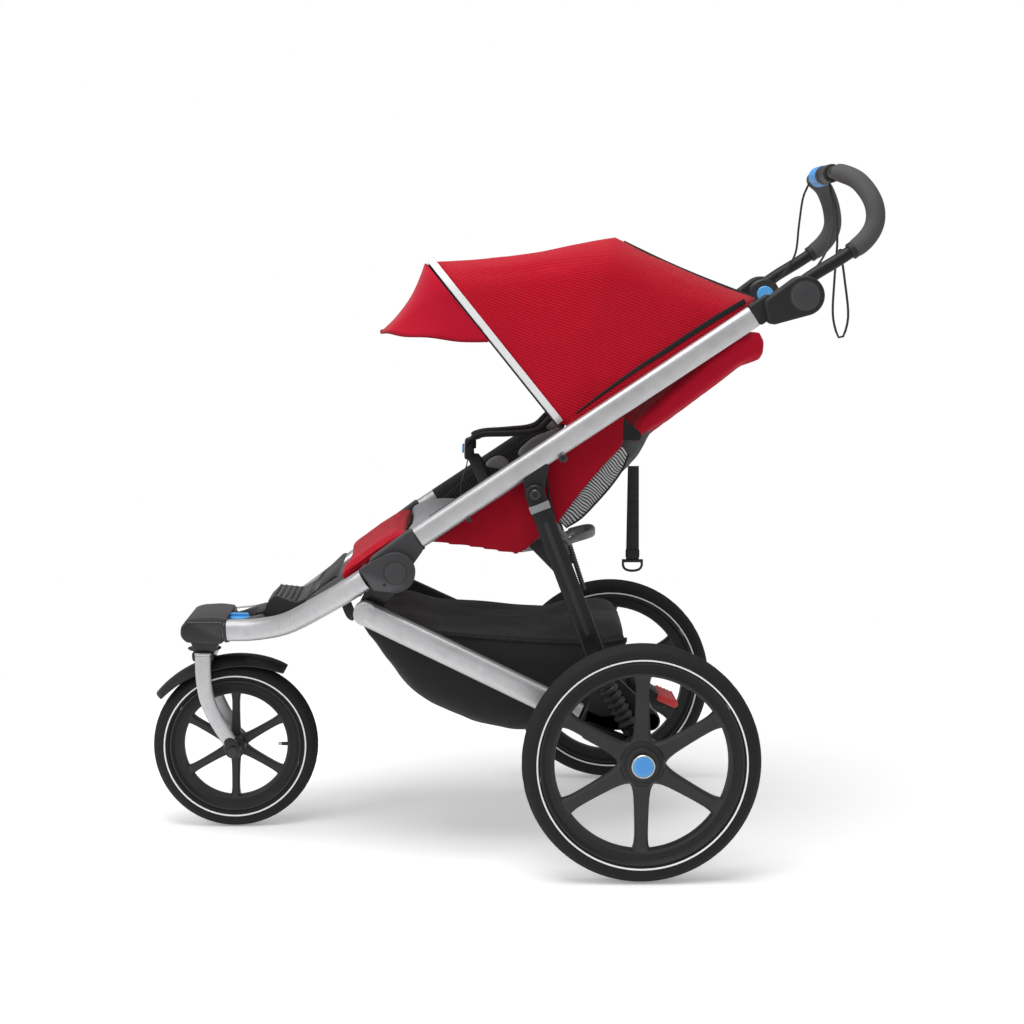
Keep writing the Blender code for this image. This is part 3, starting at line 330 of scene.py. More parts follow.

# Finishes given a share for their edges get a painted highlight along their convex edges.
MATERIAL = {
    "silver": finish(((0.42, 0.42, 0.43), (0.56, 0.56, 0.57)), 0.42,
                     grain(420.0, (0.12, 1.0, 0.12), 4.0), (0.12, 0.0003), 0.85),
    "satin_grey": finish(((0.026, 0.026, 0.028), (0.044, 0.044, 0.047)), 0.5,
                         grain(1400.0), (0.25, 0.0002), edge_highlight=0.3, fixed=MATT),
    "dark_plastic": finish(((0.008, 0.008, 0.009), (0.017, 0.017, 0.018)), 0.5,
                           grain(1300.0), (0.25, 0.0002), edge_highlight=0.3, fixed=MATT),
    "gloss_black": finish(((0.009, 0.009, 0.01), (0.016, 0.016, 0.018)), 0.24,
                          grain(300.0), (0.06, 0.0002), edge_highlight=0.3, fixed=[("Specular IOR Level", 0.35)]),
    "black_metal": finish(((0.01, 0.01, 0.011), (0.018, 0.018, 0.02)), 0.38,
                          grain(700.0, (0.2, 1.0, 0.2)), (0.1, 0.0002), 0.3, edge_highlight=0.3, fixed=MATT),
    "wheel_black": finish(((0.01, 0.01, 0.011), (0.02, 0.02, 0.021)), 0.5,
                          grain(1100.0), (0.25, 0.0002), edge_highlight=0.3, fixed=MATT),
    "tyre": finish(((0.009, 0.009, 0.01), (0.018, 0.018, 0.019)), 0.8, grain(900.0), (0.35, 0.0004), fixed=MATT),
    "reflector": finish(((0.72, 0.72, 0.73), (0.86, 0.86, 0.87)), 0.42, grain(1800.0), (0.2, 0.0002)),
    "reflective_band": finish(((0.62, 0.62, 0.63), (0.78, 0.78, 0.79)), 0.6, cloth(0.0012), (0.3, 0.0002)),
    "blue": finish(((0.04, 0.22, 0.56), (0.06, 0.3, 0.72)), 0.34, grain(900.0), (0.12, 0.0002), edge_highlight=0.3),
    "red_ribbed": finish((RED_DARK, RED_LIGHT), 0.8, ribbed(0.005), (0.9, 0.0011), blotch=5.0, fixed=SOFT),
    "red_plain": finish(((0.33, 0.0025, 0.013), (0.5, 0.006, 0.03)), 0.82,
                        cloth(0.0016), (0.5, 0.0004), blotch=5.0, fixed=SOFT),
    "red_ribbed_side": finish((RED_DARK, RED_LIGHT), 0.8,
                              ribbed(0.005, "Object", (0.342, 0.0, 0.94)), (0.9, 0.0011), blotch=5.0, fixed=SOFT),
    "red_seat": finish((RED_DARK, RED_LIGHT), 0.82,
                       ribbed(0.006, "Object", (0.0, 1.0, 0.0)), (0.9, 0.0012), blotch=5.0, fixed=SOFT),
    # A darker copy of the red cloth, as painted shade on the seat's side walls.
    "red_painted_shade": finish(((0.23, 0.0018, 0.008), (0.36, 0.0035, 0.018)), 0.84,
                        cloth(0.0016), (0.5, 0.0004), blotch=5.0, fixed=SOFT),
    "red_hem": finish(((0.2, 0.002, 0.008), (0.33, 0.004, 0.017)), 0.85,
                      cloth(0.0009), (0.5, 0.0003), fixed=SOFT),
    "charcoal": finish(((0.014, 0.014, 0.015), (0.03, 0.029, 0.03)), 0.86,
                       cloth(0.0015), (0.6, 0.0004), blotch=6.0, fixed=SOFT),
    "charcoal_cover": finish(((0.022, 0.021, 0.021), (0.044, 0.042, 0.042)), 0.88,
                             cloth(0.002), (0.6, 0.0005), blotch=7.0, fixed=SOFT),
    "grey_pad": finish(((0.2, 0.205, 0.215), (0.36, 0.365, 0.38)), 0.9, cloth(0.0018), (0.6, 0.0005), fixed=SOFT),
    "grey_dark": finish(((0.06, 0.061, 0.064), (0.12, 0.122, 0.128)), 0.88,
                        cloth(0.0018), (0.6, 0.0005), fixed=SOFT),
    "netting": finish(((0.006, 0.006, 0.007), (0.05, 0.05, 0.052)), 0.8, knit, (0.9, 0.0008)),
    "zebra": finish(((0.01, 0.01, 0.011), (0.42, 0.42, 0.43)), 0.6, zebra, (0.4, 0.0004)),
    "webbing": finish(((0.007, 0.007, 0.008), (0.022, 0.022, 0.024)), 0.72, cloth(0.0022), (0.7, 0.0005)),
    "foam": finish(((0.04, 0.04, 0.041), (0.075, 0.075, 0.076)), 0.88, grain(1500.0), (0.5, 0.0005)),
    "boot": finish(((0.008, 0.008, 0.009), (0.018, 0.018, 0.019)), 0.55, grain(900.0), (0.2, 0.0002)),
    "braid": finish(((0.006, 0.006, 0.007), (0.026, 0.026, 0.028)), 0.65, cloth(0.0013), (0.8, 0.0004)),
    "steel": finish(((0.42, 0.42, 0.43), (0.62, 0.62, 0.63)), 0.3, grain(600.0), (0.1, 0.0002), 1.0),
    "grey_plastic": finish(((0.15, 0.152, 0.156), (0.215, 0.217, 0.222)), 0.48,
                           grain(900.0), (0.2, 0.0002), edge_highlight=0.3),
    "red_plastic": finish(((0.42, 0.012, 0.014), (0.6, 0.03, 0.032)), 0.42,
                          grain(900.0), (0.2, 0.0002), edge_highlight=0.3),
    "tread_plate": finish(((0.05, 0.05, 0.052), (0.115, 0.115, 0.118)), 0.62, studs, (0.6, 0.0006)),
}
for material_name, material in MATERIAL.items():
    material.name = material_name


# --- shapes ---


def tidied(build, angle=35):
    """A mesh from a bmesh that build fills: welded, facing out and smooth below an angle."""
    made = bmesh.new()
    build(made)
    bmesh.ops.remove_doubles(made, verts=made.verts, dist=1e-6)
    bmesh.ops.recalc_face_normals(made, faces=made.faces)
    mesh = bpy.data.meshes.new("mesh")
    made.to_mesh(mesh)
    made.free()
    mesh.shade_smooth()
    mesh.set_sharp_from_angle(angle=math.radians(angle))
    return mesh


def skin(rings, closed=False, angle=35):
    """A skin over rings of equally many places, with end caps or closed into a hoop."""
    count = len(rings[0])

    def build(made):
        grown = [[made.verts.new(p) for p in ring] for ring in rings]
        following = grown[1:] + grown[:1] if closed else grown[1:]
        for ring, after in zip(grown, following):
            for i in range(count):
                j = (i + 1) % count
                made.faces.new((ring[i], ring[j], after[j], after[i]))
        if not closed:
            made.faces.new(grown[0])
            made.faces.new(grown[-1])

    return tidied(build, angle)


def oval(width, height, sides, power=1.0):
    """A closed section. With power below 1 it is squarer than an ellipse."""
    section = []
    for step in range(sides):
        turn = 2 * math.pi * (step + 0.5) / sides
        a, b = math.cos(turn), math.sin(turn)
        section.append((math.copysign(abs(a) ** power, a) * width / 2,
                        math.copysign(abs(b) ** power, b) * height / 2))
    return section


def ribbon(width, thickness):
    """The section of flat webbing, with soft edges: thickness across, width along the second axis."""
    w, t = width / 2, thickness / 2
    return [(t, -w * 0.9), (t, w * 0.9), (t * 0.4, w), (-t * 0.4, w),
            (-t, w * 0.9), (-t, -w * 0.9), (-t * 0.4, -w), (t * 0.4, -w)]


def sweep(points, section, scale=None, level=None):
    """A bar whose section follows a line of places. level keeps the section's first axis square to it."""
    points = [Vector(p) for p in points]
    rings, across = [], None
    for i, point in enumerate(points):
        before, after = points[max(i - 1, 0)], points[min(i + 1, len(points) - 1)]
        along = (after - before).normalized()
        if level is not None:
            across = level.cross(along).normalized()
        elif across is None:
            across = along.orthogonal().normalized()
        else:
            across = (across - along * across.dot(along)).normalized()
        up = along.cross(across)
        size = scale[i] if scale else 1.0
        rings.append([point + (across * a + up * b) * size for a, b in section])
    return skin(rings)


def bar(points, section, soft, level=None):
    """A swept bar whose ends are rounded off over a short length."""
    points = [Vector(p) for p in points]
    head = (points[1] - points[0]).normalized() * soft
    tail = (points[-2] - points[-1]).normalized() * soft
    steps = (0.0, 0.12, 0.45, 1.0)
    path = [points[0] + head * s for s in steps]
    path += points[1:-1]
    path += [points[-1] + tail * s for s in reversed(steps)]
    ends = [0.72 + 0.28 * math.sqrt(1 - (1 - s) ** 2) for s in steps]
    scale = ends + [1.0] * (len(points) - 2) + ends[::-1]
    return sweep(path, section, scale, level)


def level_tube(points, width, height):
    """A bar of squarish section that stays upright."""
    return bar(points, oval(width, height, 48, 0.7), 0.0012, UP)


def rod(start, end, radius, soft=0.0008, sides=32):
    return bar([start, end], oval(2 * radius, 2 * radius, sides), soft)


def pin_at(place, start, end, radius, soft=0.0008, sides=32):
    """A rod straight across the stroller, at a side-view place."""
    return rod(at(*place, start), at(*place, end), radius, soft, sides)


def smooth_route(points, step):
    """Places every step along a smooth line through given points (a Catmull-Rom spline)."""
    points = [Vector(p) for p in points]
    ends = [2 * points[0] - points[1], *points, 2 * points[-1] - points[-2]]
    fine = []
    for a, b, c, d in zip(ends, ends[1:], ends[2:], ends[3:]):
        for i in range(20):
            t = i / 20
            fine.append(
                0.5 * (2 * b + (c - a) * t + (2 * a - 5 * b + 4 * c - d) * t**2
                       + (3 * b - 3 * c + d - a) * t**3)
            )
    fine.append(points[-1])
    lengths = [0.0]
    for a, b in zip(fine, fine[1:]):
        lengths.append(lengths[-1] + (b - a).length)
    count = max(2, round(lengths[-1] / step))
    route, near = [], 0
    for i in range(count + 1):
        wanted = lengths[-1] * i / count
        while near < len(fine) - 2 and lengths[near + 1] < wanted:
            near += 1
        share = (wanted - lengths[near]) / max(lengths[near + 1] - lengths[near], 1e-9)
        route.append(fine[near].lerp(fine[near + 1], min(share, 1.0)))
    return route


def traced(pairs, y, step):
    """A smooth line along side-view pairs, at a distance from the middle."""
    return smooth_route([at(x, z, y) for x, z in pairs], step)


def route_length(points):
    return sum((b - a).length for a, b in zip(points, points[1:]))


def lathe(profile, centre, axis, steps):
    """A turned form: a closed profile of (radius, offset along the axis)."""
    axis = Vector(axis).normalized()
    first = axis.orthogonal().normalized()
    second = axis.cross(first)
    rings = []
    for step in range(steps):
        turn = 2 * math.pi * step / steps
        out = first * math.cos(turn) + second * math.sin(turn)
        rings.append([centre + out * r + axis * h for r, h in profile])
    return skin(rings, closed=True)


def turned(profile, place, sign, steps=96):
    """A turned form at a side-view place. Its profile's offsets are counted outwards on one side."""
    return lathe(profile, at(*place), (0.0, sign, 0.0), steps)


def disc_hull(*discs, sides=64):
    """The outline around discs (x, z, radius), as side-view pairs."""
    points = []
    for x, z, radius in discs:
        for step in range(sides):
            turn = 2 * math.pi * step / sides
            points.append(Vector((x + radius * math.cos(turn), z + radius * math.sin(turn))))
    return [(points[i].x, points[i].y) for i in convex_hull_2d(points)]


def slab(outline, low, high, soft=0.0012, angle=40):
    """A plate with a side-view outline, from low to high across the stroller, with rounded edges."""

    def build(made):
        first = [made.verts.new(at(x, z, low)) for x, z in outline]
        cap = made.faces.new(first)
        grown = bmesh.ops.extrude_face_region(made, geom=[cap])["geom"]
        lifted = [v for v in grown if isinstance(v, bmesh.types.BMVert)]
        bmesh.ops.translate(made, verts=lifted, vec=(0.0, high - low, 0.0))
        bmesh.ops.recalc_face_normals(made, faces=made.faces)
        rims = [e for e in made.edges if abs(e.verts[0].co.y - e.verts[1].co.y) < 1e-7]
        bmesh.ops.bevel(made, geom=rims, offset=soft, segments=3, profile=0.5, affect="EDGES",
                        clamp_overlap=True)

    return tidied(build, angle)


def rounded_outline(corners, radius):
    """A side-view outline whose corners are rounded off."""
    made = []
    steps, count = 5, len(corners)
    for i in range(count):
        before, corner, after = (Vector(corners[(i + k) % count]) for k in (-1, 0, 1))
        back, ahead = before - corner, after - corner
        reach = min(radius, back.length * 0.45, ahead.length * 0.45)
        start, end = corner + back.normalized() * reach, corner + ahead.normalized() * reach
        for step in range(steps + 1):
            t = step / steps
            place = start * (1 - t) ** 2 + corner * 2 * t * (1 - t) + end * t**2
            made.append((place.x, place.y))
    return made


def plate(corners, radius, low, high, soft=0.0012):
    """A slab whose outline has rounded corners."""
    return slab(rounded_outline(corners, radius), low, high, soft)


def grid(rows, uv_of=None):
    """An open sheet over rows of places, with UVs in metres."""
    columns = len(rows[0])
    places = [Vector(p) for row in rows for p in row]
    faces = []
    for r in range(len(rows) - 1):
        for c in range(columns - 1):
            a = r * columns + c
            faces.append((a, a + 1, a + columns + 1, a + columns))
    mesh = bpy.data.meshes.new("sheet")
    mesh.from_pydata([tuple(p) for p in places], [], faces)
    across = [0.0]
    for c in range(1, columns):
        across.append(across[-1] + (places[c] - places[c - 1]).length)
    layer = mesh.uv_layers.new(name="cloth")
    for loop in mesh.loops:
        index = loop.vertex_index
        if uv_of:
            uv = uv_of(places[index])
        else:
            row, column = divmod(index, columns)
            uv = (across[column], (places[index] - places[column]).length)
        layer.data[loop.index].uv = uv
    mesh.shade_smooth()
    return mesh


def joined(*meshes):
    """Several meshes as one."""
    def build(made):
        for mesh in meshes:
            made.from_mesh(mesh)

    return tidied(build)


def piece(name, mesh, material, body=None, replaces=()):
    """An object that rides on a body and stands for CAD nodes."""
    made = bpy.data.objects.new(name, mesh)
    bpy.context.scene.collection.objects.link(made)
    mesh.materials.append(MATERIAL[material])
    if body:
        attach(made, body)
    if replaces:
        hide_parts(*replaces)
    return made


def thicken(made, thickness, offset=0.0):
    """Gives a sheet its thickness."""
    solid = made.modifiers.new("thickness", "SOLIDIFY")
    solid.thickness = thickness
    solid.offset = offset


def crumple(mesh, size, depth, fixed=None):
    """Moves a mesh's places by a soft noise along their normals, less where fixed says."""
    for vertex in mesh.vertices:
        share = fixed(vertex.co) if fixed else 1.0
        vertex.co += vertex.normal * (noise.noise(vertex.co * size) * depth * share)


PAD_VOXEL = 0.006
PAD_PRESSURE = 4.0
PAD_SWELL = 0.007  # no place of a pad's skin moves further than this
PAD_FRAMES = 20


def padded_form(name, outline, low, high, material, body, replaces):
    """A stuffed pad: its outline is extruded, remeshed and blown up by a short cloth simulation."""
    made = piece(name, slab(outline, low, high, 0.01), material, body, replaces)
    remesh = made.modifiers.new("remesh", "REMESH")
    remesh.mode = "VOXEL"
    remesh.voxel_size = PAD_VOXEL
    settle(made)
    rest = [v.co.copy() for v in made.data.vertices]
    puff = made.modifiers.new("cloth", "CLOTH")
    puff.settings.use_pressure = True
    puff.settings.uniform_pressure_force = PAD_PRESSURE
    puff.settings.effector_weights.gravity = 0.0
    scene = bpy.context.scene
    scene.frame_start, scene.frame_end = 1, PAD_FRAMES
    for step in range(PAD_FRAMES):
        scene.frame_set(step + 1)
    settle(made)
    for vertex, before in zip(made.data.vertices, rest):
        move = vertex.co - before
        if move.length > PAD_SWELL:
            vertex.co = before + move.normalized() * PAD_SWELL
    scene.frame_set(1)
    rounder = made.modifiers.new("rounder", "SUBSURF")
    rounder.levels = rounder.render_levels = 1
    made.data.shade_smooth()


def settle(made):
    """Puts what a piece's modifiers make into its mesh."""
    graph = bpy.context.evaluated_depsgraph_get()
    mesh = bpy.data.meshes.new_from_object(made.evaluated_get(graph))
    made.modifiers.clear()
    made.data = mesh


# --- cords ---

CABLE_R = 0.002
BRAKE_CABLES = {
    "l": [
        (0.353, -0.048, 1.168), (0.3575, -0.06, 1.128), (0.351, -0.09, 1.084), (0.33, -0.12, 1.04),
        (0.3, -0.142, 1.003), (0.285, -0.152, 0.985),
    ],
    "r": [
        (0.339, 0.06, 1.178), (0.329, 0.07, 1.15), (0.325, 0.085, 1.1), (0.323, 0.11, 1.045),
        (0.302, 0.135, 1.005), (0.285, 0.15, 0.985),
    ],
}
WRIST_R = 0.0022
WRIST_STRAP = [(0.376, 0.062, 1.178), (0.386, 0.048, 1.13), (0.388, 0.042, 1.07), (0.383, 0.038, 1.0),
               (0.381, 0.036, 0.93), (0.395, 0.034, 0.89), (0.408, 0.032, 0.93), (0.4, 0.03, 1.0),
               (0.392, 0.03, 1.05)]
RECLINE_TOP, RECLINE_FOOT = (0.0125, 0.658), (0.0125, 0.488)
RECLINE_WIDTH = 0.022


def cord_curve(name, route, radius):
    """A braided cord as a curve of one open line, with its places every 12 mm."""
    points = smooth_route([at(x, z, y) for x, y, z in route], 0.012)
    curve = bpy.data.curves.new(name, "CURVE")
    curve.dimensions = "3D"
    curve.bevel_depth = radius
    curve.bevel_resolution = 4
    curve.use_fill_caps = True
    line = curve.splines.new("POLY")
    line.points.add(len(points) - 1)
    for point, place in zip(line.points, points):
        point.co = (*place, 1.0)
    line.use_smooth = True
    curve.materials.append(MATERIAL["braid"])
    made = bpy.data.objects.new(name, curve)
    bpy.context.scene.collection.objects.link(made)
    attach(made, "handlebar")
    return made, points


def make_cords():
    for key, route in BRAKE_CABLES.items():
        made, points = cord_curve("brake_line_" + key, route, CABLE_R)
        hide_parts("brake_cable_" + key)
        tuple(points[0])
        round(route_length(points), 3)
    made, points = cord_curve("wrist_cord", WRIST_STRAP, WRIST_R)
    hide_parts("wrist_strap")
    along = (points[-1] - points[-2]).normalized()
    profile = [(0.0, -0.005), (0.003, -0.0045), (0.0048, -0.002), (0.0042, 0.0), (0.005, 0.0025), (0.0036, 0.005),
               (0.0, 0.006)]
    knot = piece("wrist_knot", lathe(profile, points[-1], along, 24), "braid", "handlebar")
    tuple(points[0])
    round(route_length(points), 3)
    make_recline_strap()


def make_recline_strap():
    """Flat webbing that hangs from the backrest, with a ring at its foot."""
    top, foot = at(*RECLINE_TOP), at(*RECLINE_FOOT)
    path = [top.lerp(foot, step / 24) for step in range(25)]
    wide = [mix(0.92, 1.08, step / 24) for step in range(25)]
    section = [(b, a) for a, b in ribbon(RECLINE_WIDTH, 0.0022)]
    mesh = sweep(path, section, wide, level=ACROSS)
    hung = piece("recline_webbing", mesh, "webbing", "backrest", ["recline_strap"])
    loop = [(-0.004, 0.486), (-0.0045, 0.476), (0.0005, 0.469), (0.0125, 0.4665), (0.0245, 0.469), (0.0295, 0.476),
            (0.029, 0.486)]
    ring = traced(loop, 0.0, 0.003)
    wire = bar(ring, oval(0.0046, 0.0046, 16), 0.001)
    bridge = rod(at(-0.0068, 0.4848), at(0.0318, 0.4848), 0.003)
    fold = bar([foot + UP * 0.002, foot + UP * 0.018], oval(0.0255, 0.006, 20, 0.5), 0.002,
               level=ACROSS)
    holder = piece("recline_loop", joined(wire, bridge), "gloss_black", "backrest", ["recline_ring"])
    hem = piece("recline_hem", fold, "webbing", "backrest")
    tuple(top)
    for step in range(5):
        place = top.lerp(foot, 0.12 + 0.13 * step)
        stitch = rod(place + Vector((-0.0095, 0.0, 0.0)), place + Vector((0.0095, 0.0, 0.0)), 0.0016, 0.0005, 12)
        piece(f"recline_rib_{step + 1}", stitch, "webbing", "backrest")


# --- wheels ---

BEAD_SHARE = 0.7  # the rim's width, as a share of the tyre's
REFLECTOR_HALF = 0.0014


def tyre_half(size, radius):
    """Half the tyre's width at a radius from the axle."""
    middle = size["tyre"] - size["half"]
    return math.sqrt(max(size["half"] ** 2 - (radius - middle) ** 2, 0.0))


def wheel_size(key):
    """Centre and main radii of a wheel, from its CAD tyre and rim."""
    low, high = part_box("tyre_" + key)
    rim_low, rim_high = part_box("rim_" + key)
    return {
        "centre": (low + high) / 2,
        "tyre": (high.z - low.z) / 2,
        "half": (high.y - low.y) / 2,
        "bead": (rim_high.z - rim_low.z) / 2,
    }


def tyre_mesh(size):
    """Round tyre with two running grooves and short slots across its shoulders."""
    centre, half = size["centre"], size["half"]
    middle = size["tyre"] - half
    steps, rings = 216, []
    for step in range(steps):
        turn = 2 * math.pi * step / steps
        out = Vector((math.cos(turn), 0.0, math.sin(turn)))
        ring = [centre + out * (size["bead"] + GAP) + Vector((0.0, -half * BEAD_SHARE, 0.0))]
        for point in range(41):
            angle = -115 + 230 * point / 40
            reach = half
            if 14 < abs(angle) < 20:
                reach -= 0.0011
            slot_step = step + (2 if angle > 0 else 0)
            if 24 < abs(angle) < 52 and slot_step % 4 == 0:
                reach -= 0.0009
            if abs(angle) < 10 and step % 6 == 0:
                reach -= 0.0006
            if 62 < abs(angle) < 66:
                reach += 0.0004
            bend = math.radians(angle)
            lifted = out * (middle + reach * math.cos(bend))
            ring.append(centre + lifted + Vector((0.0, reach * math.sin(bend), 0.0)))
        ring.append(centre + out * (size["bead"] + GAP) + Vector((0.0, half * BEAD_SHARE, 0.0)))
        rings.append(ring)
    return skin(rings, closed=True, angle=50)


def reflector_mesh(size, radius, sign):
    """Thin bright band on one side of the tyre."""
    profile, width = [], REFLECTOR_HALF
    for r, lift in ((radius - width, 0.0), (radius - width * 0.7, 0.0007), (radius + width * 0.7, 0.0007),
                    (radius + width, 0.0)):
        profile.append((r, sign * (tyre_half(size, r) + lift)))
    profile += [(radius + width, sign * (tyre_half(size, radius + width) - 0.0008)),
                (radius - width, sign * (tyre_half(size, radius - width) - 0.0008))]
    return lathe(profile, size["centre"], ACROSS, 160)


def spoke_mesh(size, turn, inner, outer, width_in, width_out, thickness):
    """Tapered spoke with chamfered edges, which flares into the hub and the rim."""
    rings = []
    spin = Matrix.Rotation(turn, 3, "Y")
    for step in range(15):
        share = step / 14
        flare = 0.55 * math.exp(-11 * share) + 0.95 * math.exp(-12 * (1 - share))
        wide = mix(width_in, width_out, share) * (1 + flare) / 2
        thick = thickness * (1 - 0.16 * math.sin(math.pi * share)) / 2
        cut = min(wide, thick) * 0.42
        section = [(wide, thick - cut), (wide - cut, thick), (cut - wide, thick), (-wide, thick - cut),
                   (-wide, cut - thick), (cut - wide, -thick), (wide - cut, -thick), (wide, cut - thick)]
        radius = mix(inner, outer, share)
        rings.append([size["centre"] + spin @ Vector((a, b, radius)) for a, b in section])
    return skin(rings, angle=30)


def make_wheel(key, body, hub_r, hub_ends, ring_r, outward=1):
    """Tyre with reflecting bands, rim, six spokes and a hub whose ends are counted from the wheel plane."""
    size = wheel_size(key)
    centre, bead = size["centre"], size["bead"]
    half = size["half"] * BEAD_SHARE
    inner = bead - 0.0255
    piece("running_tyre_" + key, tyre_mesh(size), "tyre", body, ["tyre_" + key])
    bands = joined(*[reflector_mesh(size, ring_r, sign) for sign in (-1, 1)])
    piece("reflecting_band_" + key, bands, "reflector", body)
    edge = [(bead, half - 0.002), (bead - 0.0004, half + 0.0012), (bead - 0.0032, half + 0.0016),
            (bead - 0.0052, half - 0.0012), (bead - 0.009, half - 0.004), (bead - 0.0165, half - 0.0036),
            (inner + 0.005, half - 0.0016), (inner + 0.0012, half - 0.004), (inner, half - 0.0075)]
    rim = lathe(edge + [(r, -h) for r, h in reversed(edge)], centre, ACROSS, 144)
    low, high = hub_ends
    hub = [(0.0068, high), (hub_r * 0.7, high), (hub_r * 0.74, high - 0.002), (hub_r * 0.92, high - 0.0035),
           (hub_r, high - 0.008), (hub_r, low + 0.008), (hub_r * 0.94, low + 0.003), (hub_r * 0.8, low),
           (0.0068, low)]
    barrel = lathe(hub, centre, (0.0, outward, 0.0), 72)
    arms = [
        spoke_mesh(size, 2 * math.pi * step / 6, hub_r - 0.006, inner + 0.006, hub_r * 0.62 + 0.003,
                   hub_r * 0.4 + 0.004, half * 1.5)
        for step in range(6)
    ]
    piece("wheel_rim_" + key, joined(rim, barrel, *arms), "wheel_black", body, ["rim_" + key])
    if key == "front":
        out = Vector((1.0, 0.0, 0.0))
        start, end = centre + out * (inner + 0.002), centre + out * (inner - 0.011)
        piece("valve_stem", rod(start, end, 0.0032), "boot", body)
        piece("valve_cap", rod(end + out * 0.001, end - out * 0.006, 0.0028), "steel", body)
    return size


def make_rear_button(key, sign):
    """Blue push cap in a bright ring, in the middle of the rear hub."""
    low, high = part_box("wheel_button_" + key)
    inner_y, outer_y = sorted((abs(low.y), abs(high.y)))
    centre = Vector(((low.x + high.x) / 2, 0.0, (low.z + high.z) / 2))
    radius = (high.z - low.z) / 2
    axis = (0.0, sign, 0.0)
    base = outer_y - 0.007
    ring = [(radius - 0.003, base), (radius, base), (radius, outer_y - 0.002), (radius - 0.0008, outer_y - 0.0011),
            (radius - 0.0024, outer_y - 0.0011), (radius - 0.003, outer_y - 0.002)]
    cap_r = radius - 0.0031
    cap = [(0.0, base), (cap_r, base), (cap_r, outer_y - 0.0014), (cap_r - 0.0012, outer_y - 0.0006),
           (cap_r * 0.6, outer_y - 0.0001), (0.0, outer_y)]
    piece("button_ring_" + key, lathe(ring, centre, axis, 72), "steel", "wheel_button_" + key)
    piece("button_cap_" + key, lathe(cap, centre, axis, 72), "blue", "wheel_button_" + key,
          ["wheel_button_" + key])
    stem = rod(centre + Vector((0.0, sign * inner_y, 0.0)), centre + Vector((0.0, sign * base, 0.0)), 0.0055)
    piece("button_stem_" + key, stem, "steel", "wheel_button_" + key)


def make_wheels():
    for key, sign in SIDES.items():
        make_wheel("rear_" + key, "rear_wheel_" + key, 0.038, (-0.0425, 0.0185), 0.1733, sign)
        make_rear_button(key, sign)
    make_wheel("front", "front_wheel", 0.02, (-0.036, 0.036), 0.127)


# --- frame ---

TUBE_Y = 0.2  # middle of the upper tubes
SLEEVE_IN = 0.0062  # how far inside the tube's middle its half sleeve of cloth lies
TUBE_W, TUBE_H = 0.028, 0.038
STAY_W, STAY_H = 0.028, 0.042  # section of the lower frame's side tubes
TUBE_LOW, TUBE_HIGH = (-0.37, 0.557), (0.195, 0.9356)
TUBE_ALONG = (Vector(TUBE_HIGH) - Vector(TUBE_LOW)).normalized()
TUBE_LENGTH = (Vector(TUBE_HIGH) - Vector(TUBE_LOW)).length
FRONT_TUBE = [  # (x, distance from the middle, z)
    (-0.7185, 0.059, 0.3675), (-0.66, 0.076, 0.373), (-0.6, 0.112, 0.392), (-0.53, 0.165, 0.437),
    (-0.49, 0.188, 0.464), (-0.462, 0.198, 0.4838),
]
FRONT_TUBE_END = (-0.462, 0.4838)
FRONT_TUBE_ALONG = (0.817, 0.577)
FOLD = pivot("frame_fold")
LOWER = pivot("rear_frame_fold")
STRUT_FOOT = pivot("rear_strut_fold")
STRUT_TOP = (-0.176, 0.632)
STRUT_END = (-0.098, 0.2545)
CROSSBAR = pivot("brake_pedal_press")
ARM_PIVOT = pivot("swing_arm_travel_l")
STRUT_BAR = pivot("fold_loop_lift")
HANDLE = pivot("handlebar_tilt")
STEER = pivot("fork_swivel")
REAR_AXLE = pivot("rear_wheel_spin_l")
FRONT_AXLE = pivot("front_wheel_spin")


def by_line(start, along, distance, above=0.0):
    """A side-view place: a distance along a line and one above it."""
    ahead = Vector(along).normalized()
    return (start[0] + ahead.x * distance - ahead.y * above, start[1] + ahead.y * distance + ahead.x * above)


def by_tube(distance, above=0.0):
    return by_line(TUBE_LOW, TUBE_ALONG, distance, above)


def strip(start, along, near, far, low, high):
    """A side-view rectangle laid along a line."""
    return [by_line(start, along, a, b) for a, b in ((near, low), (far, low), (far, high), (near, high))]


def add_screw(name, place, sign, y, radius, body, material="gloss_black"):
    """Domed screw head with a round socket, on a face at a distance from the middle."""
    height = radius * 0.45
    profile = [(0.0, -0.0005), (radius, -0.0005), (radius, height * 0.45), (radius * 0.82, height * 0.9),
               (radius * 0.48, height), (radius * 0.42, height * 0.3), (0.0, height * 0.3)]
    piece(name, turned(profile, (*place, sign * y), sign, 32), material, body)


